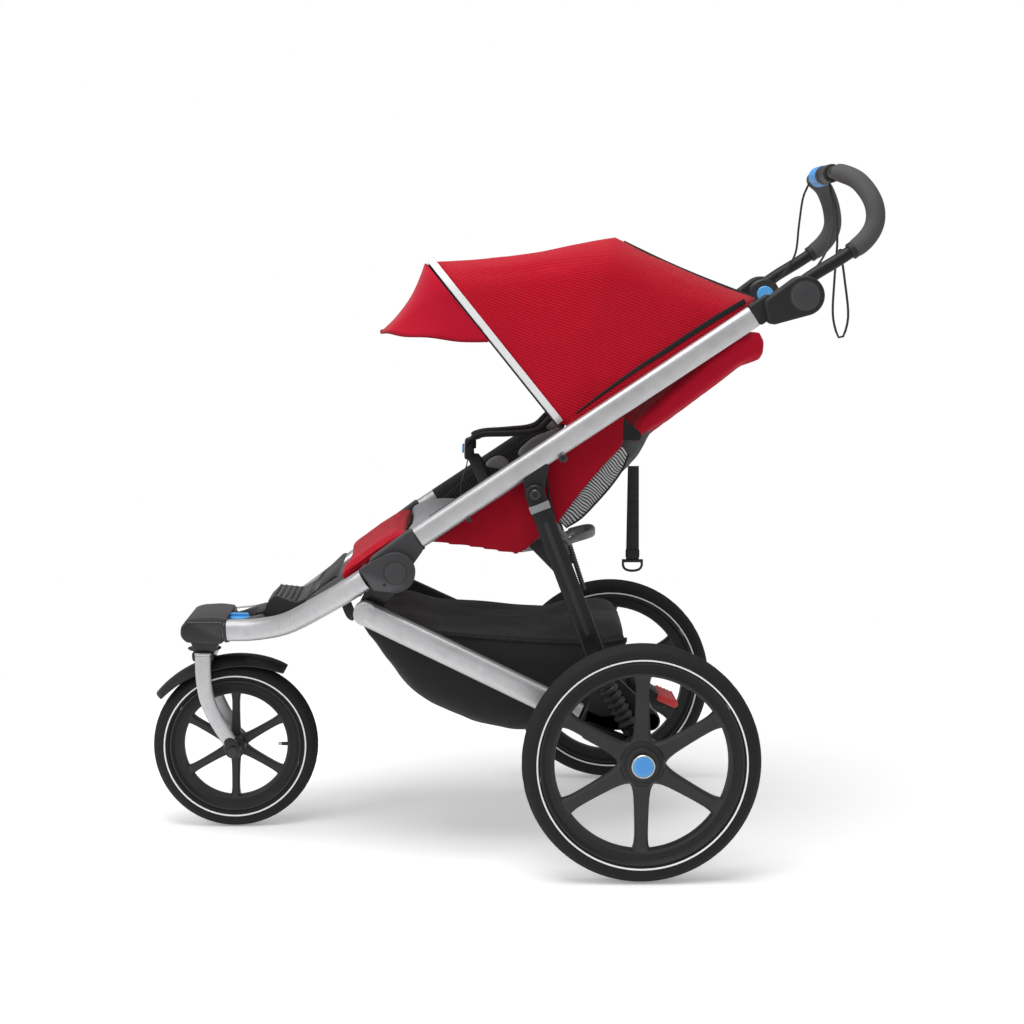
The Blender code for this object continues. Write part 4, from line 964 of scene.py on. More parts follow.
def make_tubes():
    for key, sign in SIDES.items():
        ends = [at(*by_tube(-0.008), sign * TUBE_Y), at(*TUBE_HIGH, sign * TUBE_Y)]
        tube = level_tube(ends, TUBE_W, TUBE_H)
        piece("side_tube_" + key, tube, "silver", "upper_frame", ["upper_tube_" + key])
        ends = [at(*by_tube(share), sign * (TUBE_Y - SLEEVE_IN)) for share in (0.03, 0.28)]
        sleeve = level_tube(ends, 0.8 * TUBE_W, TUBE_H + 0.0016)
        piece("tube_sleeve_" + key, sleeve, "webbing", "upper_frame")
        route = smooth_route([at(x, z, sign * y) for x, y, z in FRONT_TUBE], 0.012)
        tube = sweep(route, oval(TUBE_W, TUBE_H, 48, 0.7), level=UP)
        piece("nose_tube_" + key, tube, "silver", "front_frame", ["front_tube_" + key])
        ends = [at(*LOWER, sign * 0.2), at(*STRUT_END, sign * 0.222)]
        tube = level_tube(ends, STAY_W, STAY_H)
        eye = slab(disc_hull((*LOWER, 0.0205)), *span(sign, 0.187, 0.213), 0.002)
        piece("chain_stay_" + key, joined(tube, eye), "silver", "rear_frame", ["lower_strut_" + key])
        top, foot = at(*LOWER, sign * (0.2 - SLEEVE_IN)), at(*STRUT_END, sign * (0.222 - SLEEVE_IN))
        ends = [top.lerp(foot, share) for share in (0.08, 0.6)]
        sleeve = level_tube(ends, 0.8 * STAY_W, STAY_H + 0.0016)
        piece("stay_sleeve_" + key, sleeve, "webbing", "rear_frame")
        add_screw("tube_screw_" + key, (-0.1285, 0.693), sign, TUBE_Y + 0.0138, 0.0075, "upper_frame")
        add_screw("tube_pin_" + key, (-0.287, 0.587), sign, TUBE_Y + 0.0125, 0.0042, "upper_frame")


def make_hinges():
    x, z = FOLD
    for key, sign in SIDES.items():
        bracket = strip(FRONT_TUBE_END, FRONT_TUBE_ALONG, 0.0046, 0.014, -0.021, 0.021)
        corners = [(a, b, 0.001) for a, b in bracket]
        holder = plate(bracket, 0.004, *span(sign, 0.17, 0.229), 0.0018)
        web = slab(disc_hull((x, z, 0.03), (*LOWER, 0.0165)), *span(sign, 0.169, 0.179), 0.0018)
        pin = pin_at(LOWER, sign * 0.175, sign * 0.196, 0.006)
        piece("hinge_bracket_" + key, joined(holder, web, pin), "gloss_black", "front_frame",
              ["hinge_housing_" + key])
        cheek = slab(disc_hull((x, z, 0.034), *corners), *span(sign, 0.216, 0.2296), 0.0028)
        piece("hinge_cheek_" + key, cheek, "satin_grey", "front_frame")
        ring = [(0.0185, 0.229), (0.0205, 0.229), (0.0203, 0.23), (0.0192, 0.2303), (0.0185, 0.2298)]
        piece("hinge_ring_" + key, turned(ring, (x, z), sign), "dark_plastic", "front_frame")
        cap = [(0.0, 0.2285), (0.0172, 0.2285), (0.0172, 0.2298), (0.016, 0.2303), (0.0, 0.2305)]
        piece("hinge_cap_" + key, turned(cap, (x, z), sign), "satin_grey", "front_frame")
        add_screw("hinge_screw_" + key, (x - 0.018, z - 0.02), sign, 0.2292, 0.003, "front_frame")
        make_knuckle(key, sign)


def make_knuckle(key, sign):
    x, z = FOLD
    tube_end = strip(TUBE_LOW, TUBE_ALONG, -0.006, -0.005, -0.0205, 0.0205)
    block = [(-0.444, 0.4843), (-0.4588, 0.5055), (-0.454, 0.52), tube_end[2], tube_end[1], (-0.385, 0.505)]
    width = span(sign, 0.1845, 0.2155)
    body = plate(block, 0.006, *width, 0.004)
    tongue = slab(disc_hull((x, z, 0.029)), *width, 0.002)
    piece("knuckle_" + key, joined(body, tongue), "satin_grey", "upper_frame", ["hinge_knuckle_" + key])
    collar = [at(*by_tube(share, -0.0015), sign * TUBE_Y) for share in (-0.022, -0.012, -0.003)]
    piece("tube_lip_" + key, level_tube(collar, 0.0302, 0.041), "dark_plastic", "upper_frame")


def make_struts():
    x, z = STRUT_TOP
    along = (STRUT_FOOT[0] - x, STRUT_FOOT[1] - z)
    for key, sign in SIDES.items():
        lug = disc_hull((x, z, 0.015), (x - 0.014, z + 0.024, 0.006), (x + 0.018, z + 0.0455, 0.006))
        boss = pin_at((x, z), sign * 0.211, sign * 0.216, 0.012)
        lug = slab(lug, *span(sign, 0.1875, 0.212), 0.002)
        piece("strut_lug_" + key, joined(lug, boss), "dark_plastic", "upper_frame", ["strut_bracket_" + key])
        leg = slab(disc_hull((x, z, 0.017), (*STRUT_FOOT, 0.017)), *span(sign, 0.2165, 0.23), 0.0042)
        piece("strut_leg_" + key, leg, "black_metal", "rear_struts", ["rear_strut_" + key])
        add_screw("strut_bolt_" + key, (x, z), sign, 0.2298, 0.0092, "rear_struts")
        band = rounded_outline(strip((x, z), along, 0.0165, 0.0295, -0.0178, 0.0178), 0.002)
        piece("strut_band_" + key, slab(band, *span(sign, 0.2162, 0.2306), 0.003), "grey_plastic", "rear_struts")
        start, end = at(-0.115, 0.543, sign * 0.211), at(-0.091, 0.47, sign * 0.211)
        beads = [
            lathe([(0.0, -0.0026), (0.0036, -0.002), (0.005, 0.0), (0.0036, 0.002), (0.0, 0.0026)],
                  start.lerp(end, step / 18), end - start, 14)
            for step in range(19)
        ]
        piece("strut_beads_" + key, joined(*beads), "boot", "rear_struts")
        seam = [at(*by_line((x, z), along, share, 0.0), sign * 0.23) for share in (0.05, 0.15, 0.255)]
        groove = bar(seam, ribbon(0.008, 0.0009), 0.001, UP)
        piece("strut_inlay_" + key, groove, "dark_plastic", "rear_struts")
    cross = pin_at(STRUT_BAR, -0.2162, 0.2162, 0.0085)
    piece("strut_tie", cross, "black_metal", "rear_struts", ["strut_crossbar"])
    make_fold_loop()


def make_fold_loop():
    """Flat grip on a sleeve, for the hand that lifts the frame."""
    half = [(-0.101, 0.53, 0.042), (-0.09, 0.5335, 0.042), (-0.072, 0.5385, 0.0385), (-0.063, 0.5405, 0.026),
            (-0.0605, 0.541, 0.0)]
    places = [at(x, z, -y) for x, z, y in half] + [at(x, z, y) for x, z, y in half[-2::-1]]
    grip = bar(smooth_route(places, 0.004), oval(0.0086, 0.015, 24, 0.7), 0.002, UP)
    sleeve = [(0.0089, -0.05), (0.0132, -0.05), (0.0145, -0.0485), (0.0145, 0.0485), (0.0132, 0.05), (0.0089, 0.05)]
    barrel = lathe(sleeve, at(*STRUT_BAR), ACROSS, 64)
    root = by_line(STRUT_BAR, (0.021, 0.0115), 0.0095)
    stems = [rod(at(*root, sign * 0.042), at(-0.093, 0.5326, sign * 0.042), 0.0062) for sign in SIDES.values()]
    piece("lift_loop", joined(grip, barrel, *stems), "grey_plastic", "fold_loop", ["fold_loop"])


def make_rear_axle():
    """Cross tube with the carriers for swing arms and strut feet."""
    x, z = STRUT_FOOT
    along = (STRUT_END[0] - LOWER[0], STRUT_END[1] - LOWER[1])
    pieces = [pin_at(CROSSBAR, -0.226, 0.226, 0.0125, sides=48)]
    behind = (STRUT_END[0] + 0.019, STRUT_END[1] - 0.007, 0.012)
    for key, sign in SIDES.items():
        socket = rounded_outline(strip(STRUT_END, along, 0.0022, 0.033, -0.021, 0.021), 0.005)
        pieces.append(slab(socket, *span(sign, 0.206, 0.243), 0.003))
        wing = disc_hull((x, z, 0.015), behind, (*CROSSBAR, 0.0165))
        pieces.append(slab(wing, *span(sign, 0.2312, 0.243), 0.002))
        pieces.append(slab(disc_hull(behind, (*CROSSBAR, 0.0165)), *span(sign, 0.206, 0.243), 0.003))
        pieces.append(pin_at(STRUT_FOOT, sign * 0.22, sign * 0.24, 0.0055))
        pieces.append(rod(boot_place(sign, -0.012), boot_place(sign, -GAP), 0.0135))
        inward = Vector((0.0, sign * 0.022, 0.0))
        pieces.append(rod(boot_place(sign, -0.0065) - inward, boot_place(sign, -0.0065), 0.006))
        pieces.append(pin_at(ARM_PIVOT, sign * 0.24, sign * 0.2712, 0.006))
        add_screw("foot_screw_" + key, STRUT_FOOT, sign, 0.2428, 0.007, "rear_frame")
        make_swing_arm(key, sign)
        make_boot(key, sign)
    piece("axle_yoke", joined(*pieces), "black_metal", "rear_frame", ["rear_yoke"])
    make_pedal()


BOOT_Y = 0.2625
BOOT_TOP, BOOT_FOOT = (-0.0555, 0.317), (-0.016, 0.245)
BOOT_LENGTH = (Vector(BOOT_FOOT) - Vector(BOOT_TOP)).length


def boot_place(sign, along):
    """A place on the spring's line, counted downwards from the top of its boot."""
    top, foot = at(*BOOT_TOP, sign * BOOT_Y), at(*BOOT_FOOT, sign * BOOT_Y)
    return top + (foot - top).normalized() * along


def make_boot(key, sign):
    """Pleated rubber boot over the spring."""
    ribs, waist, full = 6, 0.0122, 0.017
    profile = [(0.0, 0.0), (0.014, 0.0), (0.015, 0.002)]
    for step in range(ribs * 8 + 1):
        share = step / (ribs * 8)
        swell = 0.5 - 0.5 * math.cos(2 * math.pi * share * ribs)
        profile.append((mix(waist, full, swell ** 0.7), mix(0.003, BOOT_LENGTH - 0.003, share)))
    profile += [(0.015, BOOT_LENGTH - 0.002), (0.014, BOOT_LENGTH), (0.0, BOOT_LENGTH)]
    axis = boot_place(sign, 1.0) - boot_place(sign, 0.0)
    boot = piece("spring_boot_" + key, lathe(profile, boot_place(sign, 0.0), axis, 56), "boot", "rear_frame",
                 ["shock_boot_" + key])
    boot_place(sign, 0.0)
    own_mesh(boot)


def make_swing_arm(key, sign):
    body = "swing_arm_" + key
    outline = disc_hull((*ARM_PIVOT, 0.0135), (*REAR_AXLE, 0.021))
    arm = slab(outline, *span(sign, 0.2455, 0.2708), 0.003)
    stub = pin_at(REAR_AXLE, sign * 0.269, sign * 0.326, 0.006)
    seat = [(0.0, BOOT_LENGTH + GAP), (0.014, BOOT_LENGTH + GAP), (0.014, BOOT_LENGTH + 0.004),
            (0.0105, BOOT_LENGTH + 0.017), (0.0, BOOT_LENGTH + 0.017)]
    axis = boot_place(sign, 1.0) - boot_place(sign, 0.0)
    cup = lathe(seat, boot_place(sign, 0.0), axis, 48)
    piece("trailing_arm_" + key, joined(arm, stub, cup), "black_metal", body, ["swing_arm_" + key])
    add_screw("arm_screw_" + key, ARM_PIVOT, sign, 0.2706, 0.0085, body, "steel")


def make_pedal():
    """Foot brake with a ribbed red pad."""
    x, z = CROSSBAR
    hub = slab(disc_hull((x, z, 0.019), (x + 0.046, z - 0.019, 0.008)), -0.034, 0.034, 0.0025)
    piece("brake_lever", hub, "dark_plastic", "brake_pedal", ["brake_pedal"])
    near, far = Vector((x + 0.04, z - 0.009)), Vector((x + 0.066, z - 0.02))
    pad = slab(disc_hull((*near, 0.0062), (*far, 0.0062)), -0.04, 0.04, 0.0026)
    piece("brake_pad", pad, "red_plastic", "brake_pedal")
    ahead = (far - near).normalized()
    lift = Vector((-ahead.y, ahead.x)) * 0.006
    for step in range(5):
        place = near.lerp(far, step / 4) + lift
        rib = pin_at(place, -0.037, 0.037, 0.0016, 0.0008, 16)
        piece(f"brake_pad_rib_{step + 1}", rib, "red_plastic", "brake_pedal")


# --- nose: head, footrest, fork ---


def scaled_across(mesh, half_width):
    """Gives a slab of unit half width its width, which may change along the stroller."""
    for vertex in mesh.vertices:
        vertex.co.y *= half_width(vertex.co.x - AXLE_X)
    return mesh


def make_head():
    lower = [(-0.796, 0.358), (-0.786, 0.347), (-0.725, 0.345), (-0.72, 0.348), (-0.72, 0.385), (-0.788, 0.385),
             (-0.796, 0.374)]
    casting = plate(lower, 0.006, -0.072, 0.072, 0.005)
    neck = [(-0.785, 0.347), (-0.728, 0.347), (-0.739, 0.3245), (-0.775, 0.3245)]
    collar = plate(neck, 0.004, -0.04, 0.04, 0.004)
    wedge = [(-0.73, 0.35), (-0.68, 0.353), (-0.676, 0.3735), (-0.73, 0.3755)]
    tongue = plate(wedge, 0.003, -0.0478, 0.0478, 0.002)
    piece("head_shell", joined(casting, collar, tongue), "gloss_black", "front_frame", ["head_casting"])
    upper = [(-0.79, 0.38), (-0.717, 0.381), (-0.715, 0.39), (-0.74, 0.393), (-0.774, 0.391), (-0.788, 0.386)]
    cap = plate(upper, 0.007, -0.07, 0.07, 0.006)
    piece("head_cap", cap, "satin_grey", "front_frame")
    for key, sign in SIDES.items():
        route = smooth_route([at(x, z, sign * y) for x, y, z in FRONT_TUBE[:3]], 0.008)[:2]
        socket = bar(route, oval(0.032, 0.042, 48, 0.7), 0.002, UP)
        piece("head_socket_" + key, socket, "gloss_black", "front_frame")
    profile = [(0.0, 0.0003), (0.0195, 0.0003), (0.02, 0.0015), (0.019, 0.005), (0.0165, 0.0064), (0.0, 0.0068)]
    place = PIVOT["swivel_lock_turn"]
    disc = lathe(profile, place, UP, 72)
    grip = slab(rounded_outline([(-0.718, 0.381), (-0.682, 0.381), (-0.684, 0.388), (-0.716, 0.388)], 0.003),
                -0.0038, 0.0038, 0.0012)
    piece("lock_knob", joined(disc, grip), "blue", "swivel_lock", ["swivel_knob"])


def make_footrest():
    def half_width(x):
        return 0.036 + 0.62 * (x + 0.668)

    outline = [(-0.668, 0.395), (-0.65, 0.399), (-0.645, 0.415), (-0.63, 0.43), (-0.608, 0.425), (-0.59, 0.421),
               (-0.57, 0.432), (-0.52, 0.478), (-0.512, 0.477), (-0.556, 0.446), (-0.59, 0.406), (-0.64, 0.388),
               (-0.668, 0.3865)]
    unit = plate(outline, 0.006, -1.0, 1.0, 0.0012)
    piece("foot_step", scaled_across(unit, half_width), "dark_plastic", "front_frame", ["footrest"])
    tread = [(-0.644, 0.418), (-0.6303, 0.4311), (-0.608, 0.4261), (-0.5905, 0.4222), (-0.572, 0.4318), (-0.57, 0.43),
             (-0.59, 0.419), (-0.608, 0.423), (-0.63, 0.428), (-0.643, 0.416)]
    unit = slab(tread, -1.0, 1.0, 0.0003)
    piece("foot_tread", scaled_across(unit, lambda x: half_width(x) - 0.008), "tread_plate", "front_frame")
    for row in range(5):
        x, z = mix(-0.629, -0.593, row / 4), mix(0.4308, 0.4228, row / 4)
        reach = half_width(x) - 0.012
        rib = pin_at((x, z), -reach, reach, 0.0022, 0.001, 16)
        piece(f"foot_rib_{row + 1}", rib, "dark_plastic", "front_frame")
    nose = rounded_outline([(-0.718, 0.373), (-0.662, 0.372), (-0.646, 0.39), (-0.654, 0.396),
                            (-0.715, 0.379)], 0.003)
    for key, sign in SIDES.items():
        wing = slab(nose, *span(sign, 0.048, 0.07), 0.0012)
        piece("nose_panel_" + key, wing, "tread_plate", "front_frame")


FORK_Y = 0.0425
FORK_LEG = [(-0.76, 0.318), (-0.759, 0.278), (-0.753, 0.241), (-0.7385, 0.207), (-0.7245, 0.183), (-0.713, 0.164)]


def make_fork():
    outline = rounded_outline([(-0.779, 0.306), (-0.744, 0.306), (-0.742, 0.312), (-0.742, 0.3225),
                               (-0.781, 0.3225), (-0.781, 0.312)], 0.004)
    crown = slab(outline, -0.036, 0.036, 0.003)
    steerer = rod(at(STEER[0], 0.318), at(STEER[0], 0.372), 0.015)
    piece("fork_bridge", joined(crown, steerer), "gloss_black", "fork", ["fork_crown"])
    collar = [(0.0, 0.3225), (0.029, 0.3225), (0.03, 0.324), (0.0, 0.324)]
    piece("fork_collar", lathe(collar, at(STEER[0], 0.0), UP, 64), "dark_plastic", "fork")
    for key, sign in SIDES.items():
        route = traced(FORK_LEG, sign * FORK_Y, 0.009)
        taper = [mix(1.0, 0.9, i / (len(route) - 1)) for i in range(len(route))]
        leg = sweep(route, oval(0.0125, 0.0285, 40, 0.75), taper, UP)
        cut = [at(*FORK_LEG[0], sign * FORK_Y) + UP * 0.006, at(*FORK_LEG[0], sign * FORK_Y)]
        root = bar(cut, oval(0.013, 0.0295, 40, 0.75), 0.001, Vector((-1.0, 0.0, 0.0)))
        piece("fork_blade_" + key, joined(leg, root), "silver", "fork", ["fork_leg_" + key])
        boss = disc_hull((*FRONT_AXLE, 0.0148), (-0.712, 0.162, 0.0098))
        drop = slab(boss, *span(sign, 0.0368, 0.05), 0.0024)
        piece("fork_dropout_" + key, drop, "gloss_black", "fork")
    axle = pin_at(FRONT_AXLE, -0.056, 0.056, 0.006)
    nuts = []
    for sign in SIDES.values():
        profile = [(0.0, 0.0504), (0.0098, 0.0504), (0.01, 0.056), (0.0086, 0.0584), (0.0, 0.059)]
        nuts.append(turned(profile, FRONT_AXLE, sign, 6))
    piece("fork_axle", joined(axle, *nuts), "black_metal", "fork", ["front_axle"])
    make_fender()


def make_fender():
    """Mudguard over the front tyre, with rolled edges and a raised middle rib."""
    inner, half = 0.1625, 0.027
    shares = [-1.0, -0.97, -0.9, -0.75, -0.5, -0.25, -0.1, 0.0, 0.1, 0.25, 0.5, 0.75, 0.9, 0.97, 1.0]
    rows = []
    for step in range(37):
        turn = math.radians(57 + 90 * step / 36)
        out = Vector((math.cos(turn), 0.0, math.sin(turn)))
        end = min(step, 36 - step) / 36
        narrow = 1 - 0.35 * math.exp(-end * 22)
        row = []
        for share in shares:
            drop = mix(0.01, 0.017, 2 * end) * abs(share) ** 4 - 0.0012 * math.exp(-(share / 0.12) ** 2)
            flare = 0.007 * (1 - 2 * end) ** 2
            row.append(at(*FRONT_AXLE) + out * (inner + flare - drop) + Vector((0.0, share * half * narrow, 0.0)))
        rows.append(row)
    guard = piece("mudguard", grid(rows), "dark_plastic", "fork", ["front_fender"])
    thicken(guard, 0.0028)
    for key, sign in SIDES.items():
        rim = [row[0 if sign < 0 else -1] for row in rows]
        piece("mudguard_edge_" + key, bar(rim, oval(0.004, 0.0044, 16), 0.002), "dark_plastic", "fork")


# --- handlebar ---

ARM_Y = 0.1785
HANDLE_ROUTE = [  # left half, from the pivot to the middle: (x, y, z)
    (0.277, -ARM_Y, 0.99), (0.306, -ARM_Y, 1.01), (0.3495, -ARM_Y, 1.0369), (0.388, -ARM_Y, 1.066),
    (0.406, -0.176, 1.098), (0.403, -0.17, 1.134), (0.384, -0.144, 1.169), (0.36, -0.112, 1.185),
    (0.352, -0.092, 1.187), (0.352, -0.078, 1.187),
]
BAR_R, GRIP_R = 0.0112, 0.0165
BAR_TOP = pivot("brake_twist_turn")


def make_handlebar():
    left = smooth_route([at(x, z, y) for x, y, z in HANDLE_ROUTE], 0.012)
    route = left + [Vector((p.x, -p.y, p.z)) for p in reversed(left)]
    tube = sweep(route, oval(2 * BAR_R, 2 * BAR_R, 32))
    x, z = HANDLE
    eyes = [slab(disc_hull((x, z, 0.029)), *span(sign, 0.1765, 0.1945), 0.0035) for sign in SIDES.values()]
    rims = []
    for sign in SIDES.values():
        profile = [(0.0163, 0.164), (0.0262, 0.164), (0.029, 0.1668), (0.029, 0.18), (0.0163, 0.18)]
        rims.append(turned(profile, (x, z), sign))
    piece("push_bar", joined(tube, *eyes, *rims), "black_metal", "handlebar", ["handlebar"])
    for key, sign in SIDES.items():
        profile = [(0.0, 0.17), (0.0155, 0.17), (0.0155, 0.1608), (0.014, 0.1595), (0.0, 0.159)]
        piece("fold_button_" + key, turned(profile, (x, z), sign), "blue", "handle_button_" + key,
              ["handle_button_" + key])
        make_grip(key, sign, left)
        make_handle_housing(key, sign)
    make_brake_twist()


def make_grip(key, sign, route):
    """Foam sleeve around the bend, a little thicker in its middle."""
    points = [Vector((p.x, -sign * p.y, p.z)) for p in route if p.y < -0.1 and p.z > 1.048]
    fine = smooth_route(points, 0.006)
    count = len(fine) - 1
    scale = [1.0 - 0.2 * math.exp(-min(i, count - i) * 1.3) for i in range(count + 1)]
    foam = sweep(fine, oval(2 * GRIP_R, 2 * GRIP_R, 40), scale)
    piece("foam_sleeve_" + key, foam, "foam", "handlebar", ["foam_grip_" + key])
    start = [fine[0] - (fine[1] - fine[0]).normalized() * 0.006, fine[0], fine[1]]
    piece("grip_collar_" + key, bar(start, oval(0.03, 0.03, 40), 0.002), "dark_plastic", "handlebar")


def make_handle_housing(key, sign):
    x, z = HANDLE
    arm = disc_hull((0.222, 0.956, 0.013), (0.226, 0.933, 0.011), (x, z, 0.034))
    shell = slab(arm, *span(sign, 0.195, 0.2312), 0.0045)
    reach = rounded_outline(strip(TUBE_HIGH, TUBE_ALONG, GAP, 0.04, -0.0192, 0.0192), 0.004)
    socket = slab(reach, *span(sign, 0.1855, 0.215), 0.003)
    piece("handle_shell_" + key, joined(shell, socket), "dark_plastic", "upper_frame",
          ["handle_housing_" + key])
    ring = [(0.024, 0.23), (0.0262, 0.23), (0.026, 0.2316), (0.025, 0.2319), (0.024, 0.2314)]
    piece("handle_ring_" + key, turned(ring, (x, z), sign), "gloss_black", "upper_frame")
    cap = [(0.0, 0.23), (0.0236, 0.23), (0.0236, 0.2312), (0.0215, 0.2319), (0.0, 0.2322)]
    piece("handle_cap_" + key, turned(cap, (x, z), sign), "satin_grey", "upper_frame")


def make_brake_twist():
    """Twist knob on the middle of the bar, beside its mount, with running grooves."""
    start, end = -0.003, 0.052
    ring = [(BAR_R + 0.0005, start)]
    for step in range(33):
        share = step / 32
        wave = 0.0009 * (0.5 - 0.5 * math.cos(2 * math.pi * 7 * share))
        edge = 0.0024 * math.exp(-min(share, 1 - share) * 30)
        ring.append((0.0185 - wave - edge, mix(start, end, share)))
    ring.append((BAR_R + 0.0005, end))
    place = at(*BAR_TOP)
    piece("twist_knob", lathe(ring, place, ACROSS, 64), "blue", "brake_twist", ["brake_twist"])
    mount = [(BAR_R + GAP, -0.076), (0.015, -0.076), (0.0165, -0.0745), (0.0168, -0.03), (0.015, -0.028),
             (0.015, -0.025), (0.0172, -0.023), (0.0172, -0.006), (0.016, -0.004), (BAR_R + GAP, -0.004)]
    piece("cable_mount", lathe(mount, place, ACROSS, 64), "dark_plastic", "handlebar",
          ["brake_lever_mount"])


# --- canopy and visor ---

CANOPY = pivot("canopy_fold")
HOOP_Y, HOOP_CORNER = 0.169, 0.07
REAR_HOOP, MIDDLE_HOOP, FRONT_HOOP = (33.8, 0.409), (74.1, 0.344), (129.0, 0.369)  # (angle, reach)
HOOP_SIDE, HOOP_ROUND = 22, 10  # places along a hoop's straight side and round its corner


def hoop(angle, reach, half=HOOP_Y, corner=HOOP_CORNER, start=0.01):
    """Places along one hoop: up the left side, over the top and down the right side."""
    turn = math.radians(angle)
    out = Vector((math.cos(turn), 0.0, math.sin(turn)))
    left = [(start + (reach - corner - start) * i / HOOP_SIDE, -half) for i in range(HOOP_SIDE)]
    for i in range(HOOP_ROUND + 1):
        a = math.pi / 2 * i / HOOP_ROUND
        left.append((reach - corner + corner * math.sin(a), -half + corner - corner * math.cos(a)))
    across = [(reach, (corner - half) * (1 - i / 6)) for i in range(1, 7)]
    line = left + across
    line += [(s, -y) for s, y in reversed(line[:-1])]
    return [at(*CANOPY) + out * s + Vector((0.0, y, 0.0)) for s, y in line]


def canopy_uv(place):
    """Fabric ribs run level along the sides and across the top."""
    x, z = place.x - AXLE_X, place.z
    side = x * math.sin(math.radians(20)) + z * math.cos(math.radians(20))
    return (x, side + 1.6 * max(0.0, HOOP_Y - abs(place.y)))


def canopy_rows(first, last, steps, sag, skew=1.0):
    """Rows of a taut sheet between two hoops. It sinks between them, most at the top."""
    start, end = hoop(*first), hoop(*last)
    rows = []
    for step in range(steps + 1):
        t = step / steps
        low = sag * math.sin(math.pi * t**skew)
        row = []
        for a, b in zip(start, end):
            place = a.lerp(b, t)
            inward = at(*CANOPY, place.y) - place
            height = inward.length
            share = min(1.0, height / 0.34)
            place += inward.normalized() * low * share**2
            place.y -= math.copysign(0.5 * low * share, place.y) if abs(place.y) > HOOP_Y - 0.02 else 0.0
            row.append(place)
        rows.append(row)
    return rows


def make_canopy():
    rows = canopy_rows(REAR_HOOP, MIDDLE_HOOP, 16, 0.0045)
    rows += canopy_rows(MIDDLE_HOOP, FRONT_HOOP, 26, 0.0095, 1.3)[1:]
    mesh = grid(rows, canopy_uv)
    crumple(mesh, 9.0, 0.0028)
    crumple(mesh, 26.0, 0.0008)
    cover = piece("canopy_cover", mesh, "red_ribbed", None, ["canopy_fabric"])
    thicken(cover, 0.0014, -1.0)
    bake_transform(cover)
    for key, sign in SIDES.items():
        line = [row[len(row) // 2 + sign * 6].copy() for row in rows[:16]]
        zipper = piece("canopy_top_zip_" + key, bar([p + UP * 0.0006 for p in line], ribbon(0.0022, 0.006), 0.001),
                       "charcoal")
        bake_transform(zipper)
    make_bows()
    make_canopy_trim()
    make_visor()


def make_bows():
    front = hoop(FRONT_HOOP[0], 0.362, HOOP_Y - 0.0075, HOOP_CORNER - 0.0075, 0.0)
    piece("front_bow", sweep(front, oval(0.008, 0.008, 16)), "dark_plastic", "canopy_front",
          ["canopy_bow_front"])
    middle = hoop(MIDDLE_HOOP[0], 0.335, HOOP_Y - 0.0165, HOOP_CORNER - 0.0165, 0.0)
    piece("middle_bow", sweep(middle, oval(0.008, 0.008, 16)), "dark_plastic", "canopy_middle",
          ["canopy_bow_middle"])


def make_canopy_trim():
    """Reflecting band on the front hoop, the black rear zip and the red wings beside the tubes."""
    turn = math.radians(FRONT_HOOP[0])
    back = Vector((math.sin(turn), 0.0, -math.cos(turn)))
    rows = []
    for step in range(6):
        shift = mix(-0.0006, 0.0115, step / 5)
        row = []
        for place in hoop(*FRONT_HOOP):
            out = place - at(*CANOPY, place.y)
            edge = Vector((0.0, math.copysign(0.0012, place.y), 0.0)) if abs(place.y) > 0.1 else Vector()
            row.append(place + back * shift + out.normalized() * 0.0014 + edge)
        rows.append(row)
    band = piece("canopy_band", grid(rows), "reflective_band", "canopy_front")
    thicken(band, 0.0008, 0.0)
    for key, sign in SIDES.items():
        zip_line = [(-0.104, 0.7665), (-0.064, 0.7965), (-0.029, 0.822), (0.005, 0.846), (0.041, 0.869),
                    (0.0915, 0.903), (0.135, 0.931), (0.185, 0.961)]
        widths = [0.0008, 0.002, 0.0028, 0.0034, 0.004, 0.0044, 0.0046, 0.0046]
        upper = [by_line(p, TUBE_ALONG, 0.0, w) for p, w in zip(zip_line, widths)]
        lower = [by_line(p, TUBE_ALONG, 0.0, -w) for p, w in zip(zip_line, widths)]
        zipper = slab(upper + lower[::-1], *span(sign, 0.167, 0.1722), 0.0004)
        piece("canopy_zip_" + key, zipper, "charcoal", "upper_frame")
        wing = [by_line(p, TUBE_ALONG, 0.0, -0.003) for p in zip_line]
        wing += [by_tube(TUBE_LENGTH - 0.012, 0.012), by_tube(0.29, 0.012)]
        wing_mesh = slab(wing, *span(sign, 0.1685, 0.1712), 0.0004)
        piece("canopy_wing_" + key, wing_mesh, "red_ribbed_side", "upper_frame")


VISOR_LIP = [  # (reach, angle, y) from the side to the middle
    (0.2, 131.0, -0.1685), (0.234, 139.6, -0.167), (0.279, 145.5, -0.162), (0.315, 149.8, -0.145),
    (0.343, 151.5, -0.118), (0.352, 152.6, -0.08), (0.356, 153.0, -0.04),
]


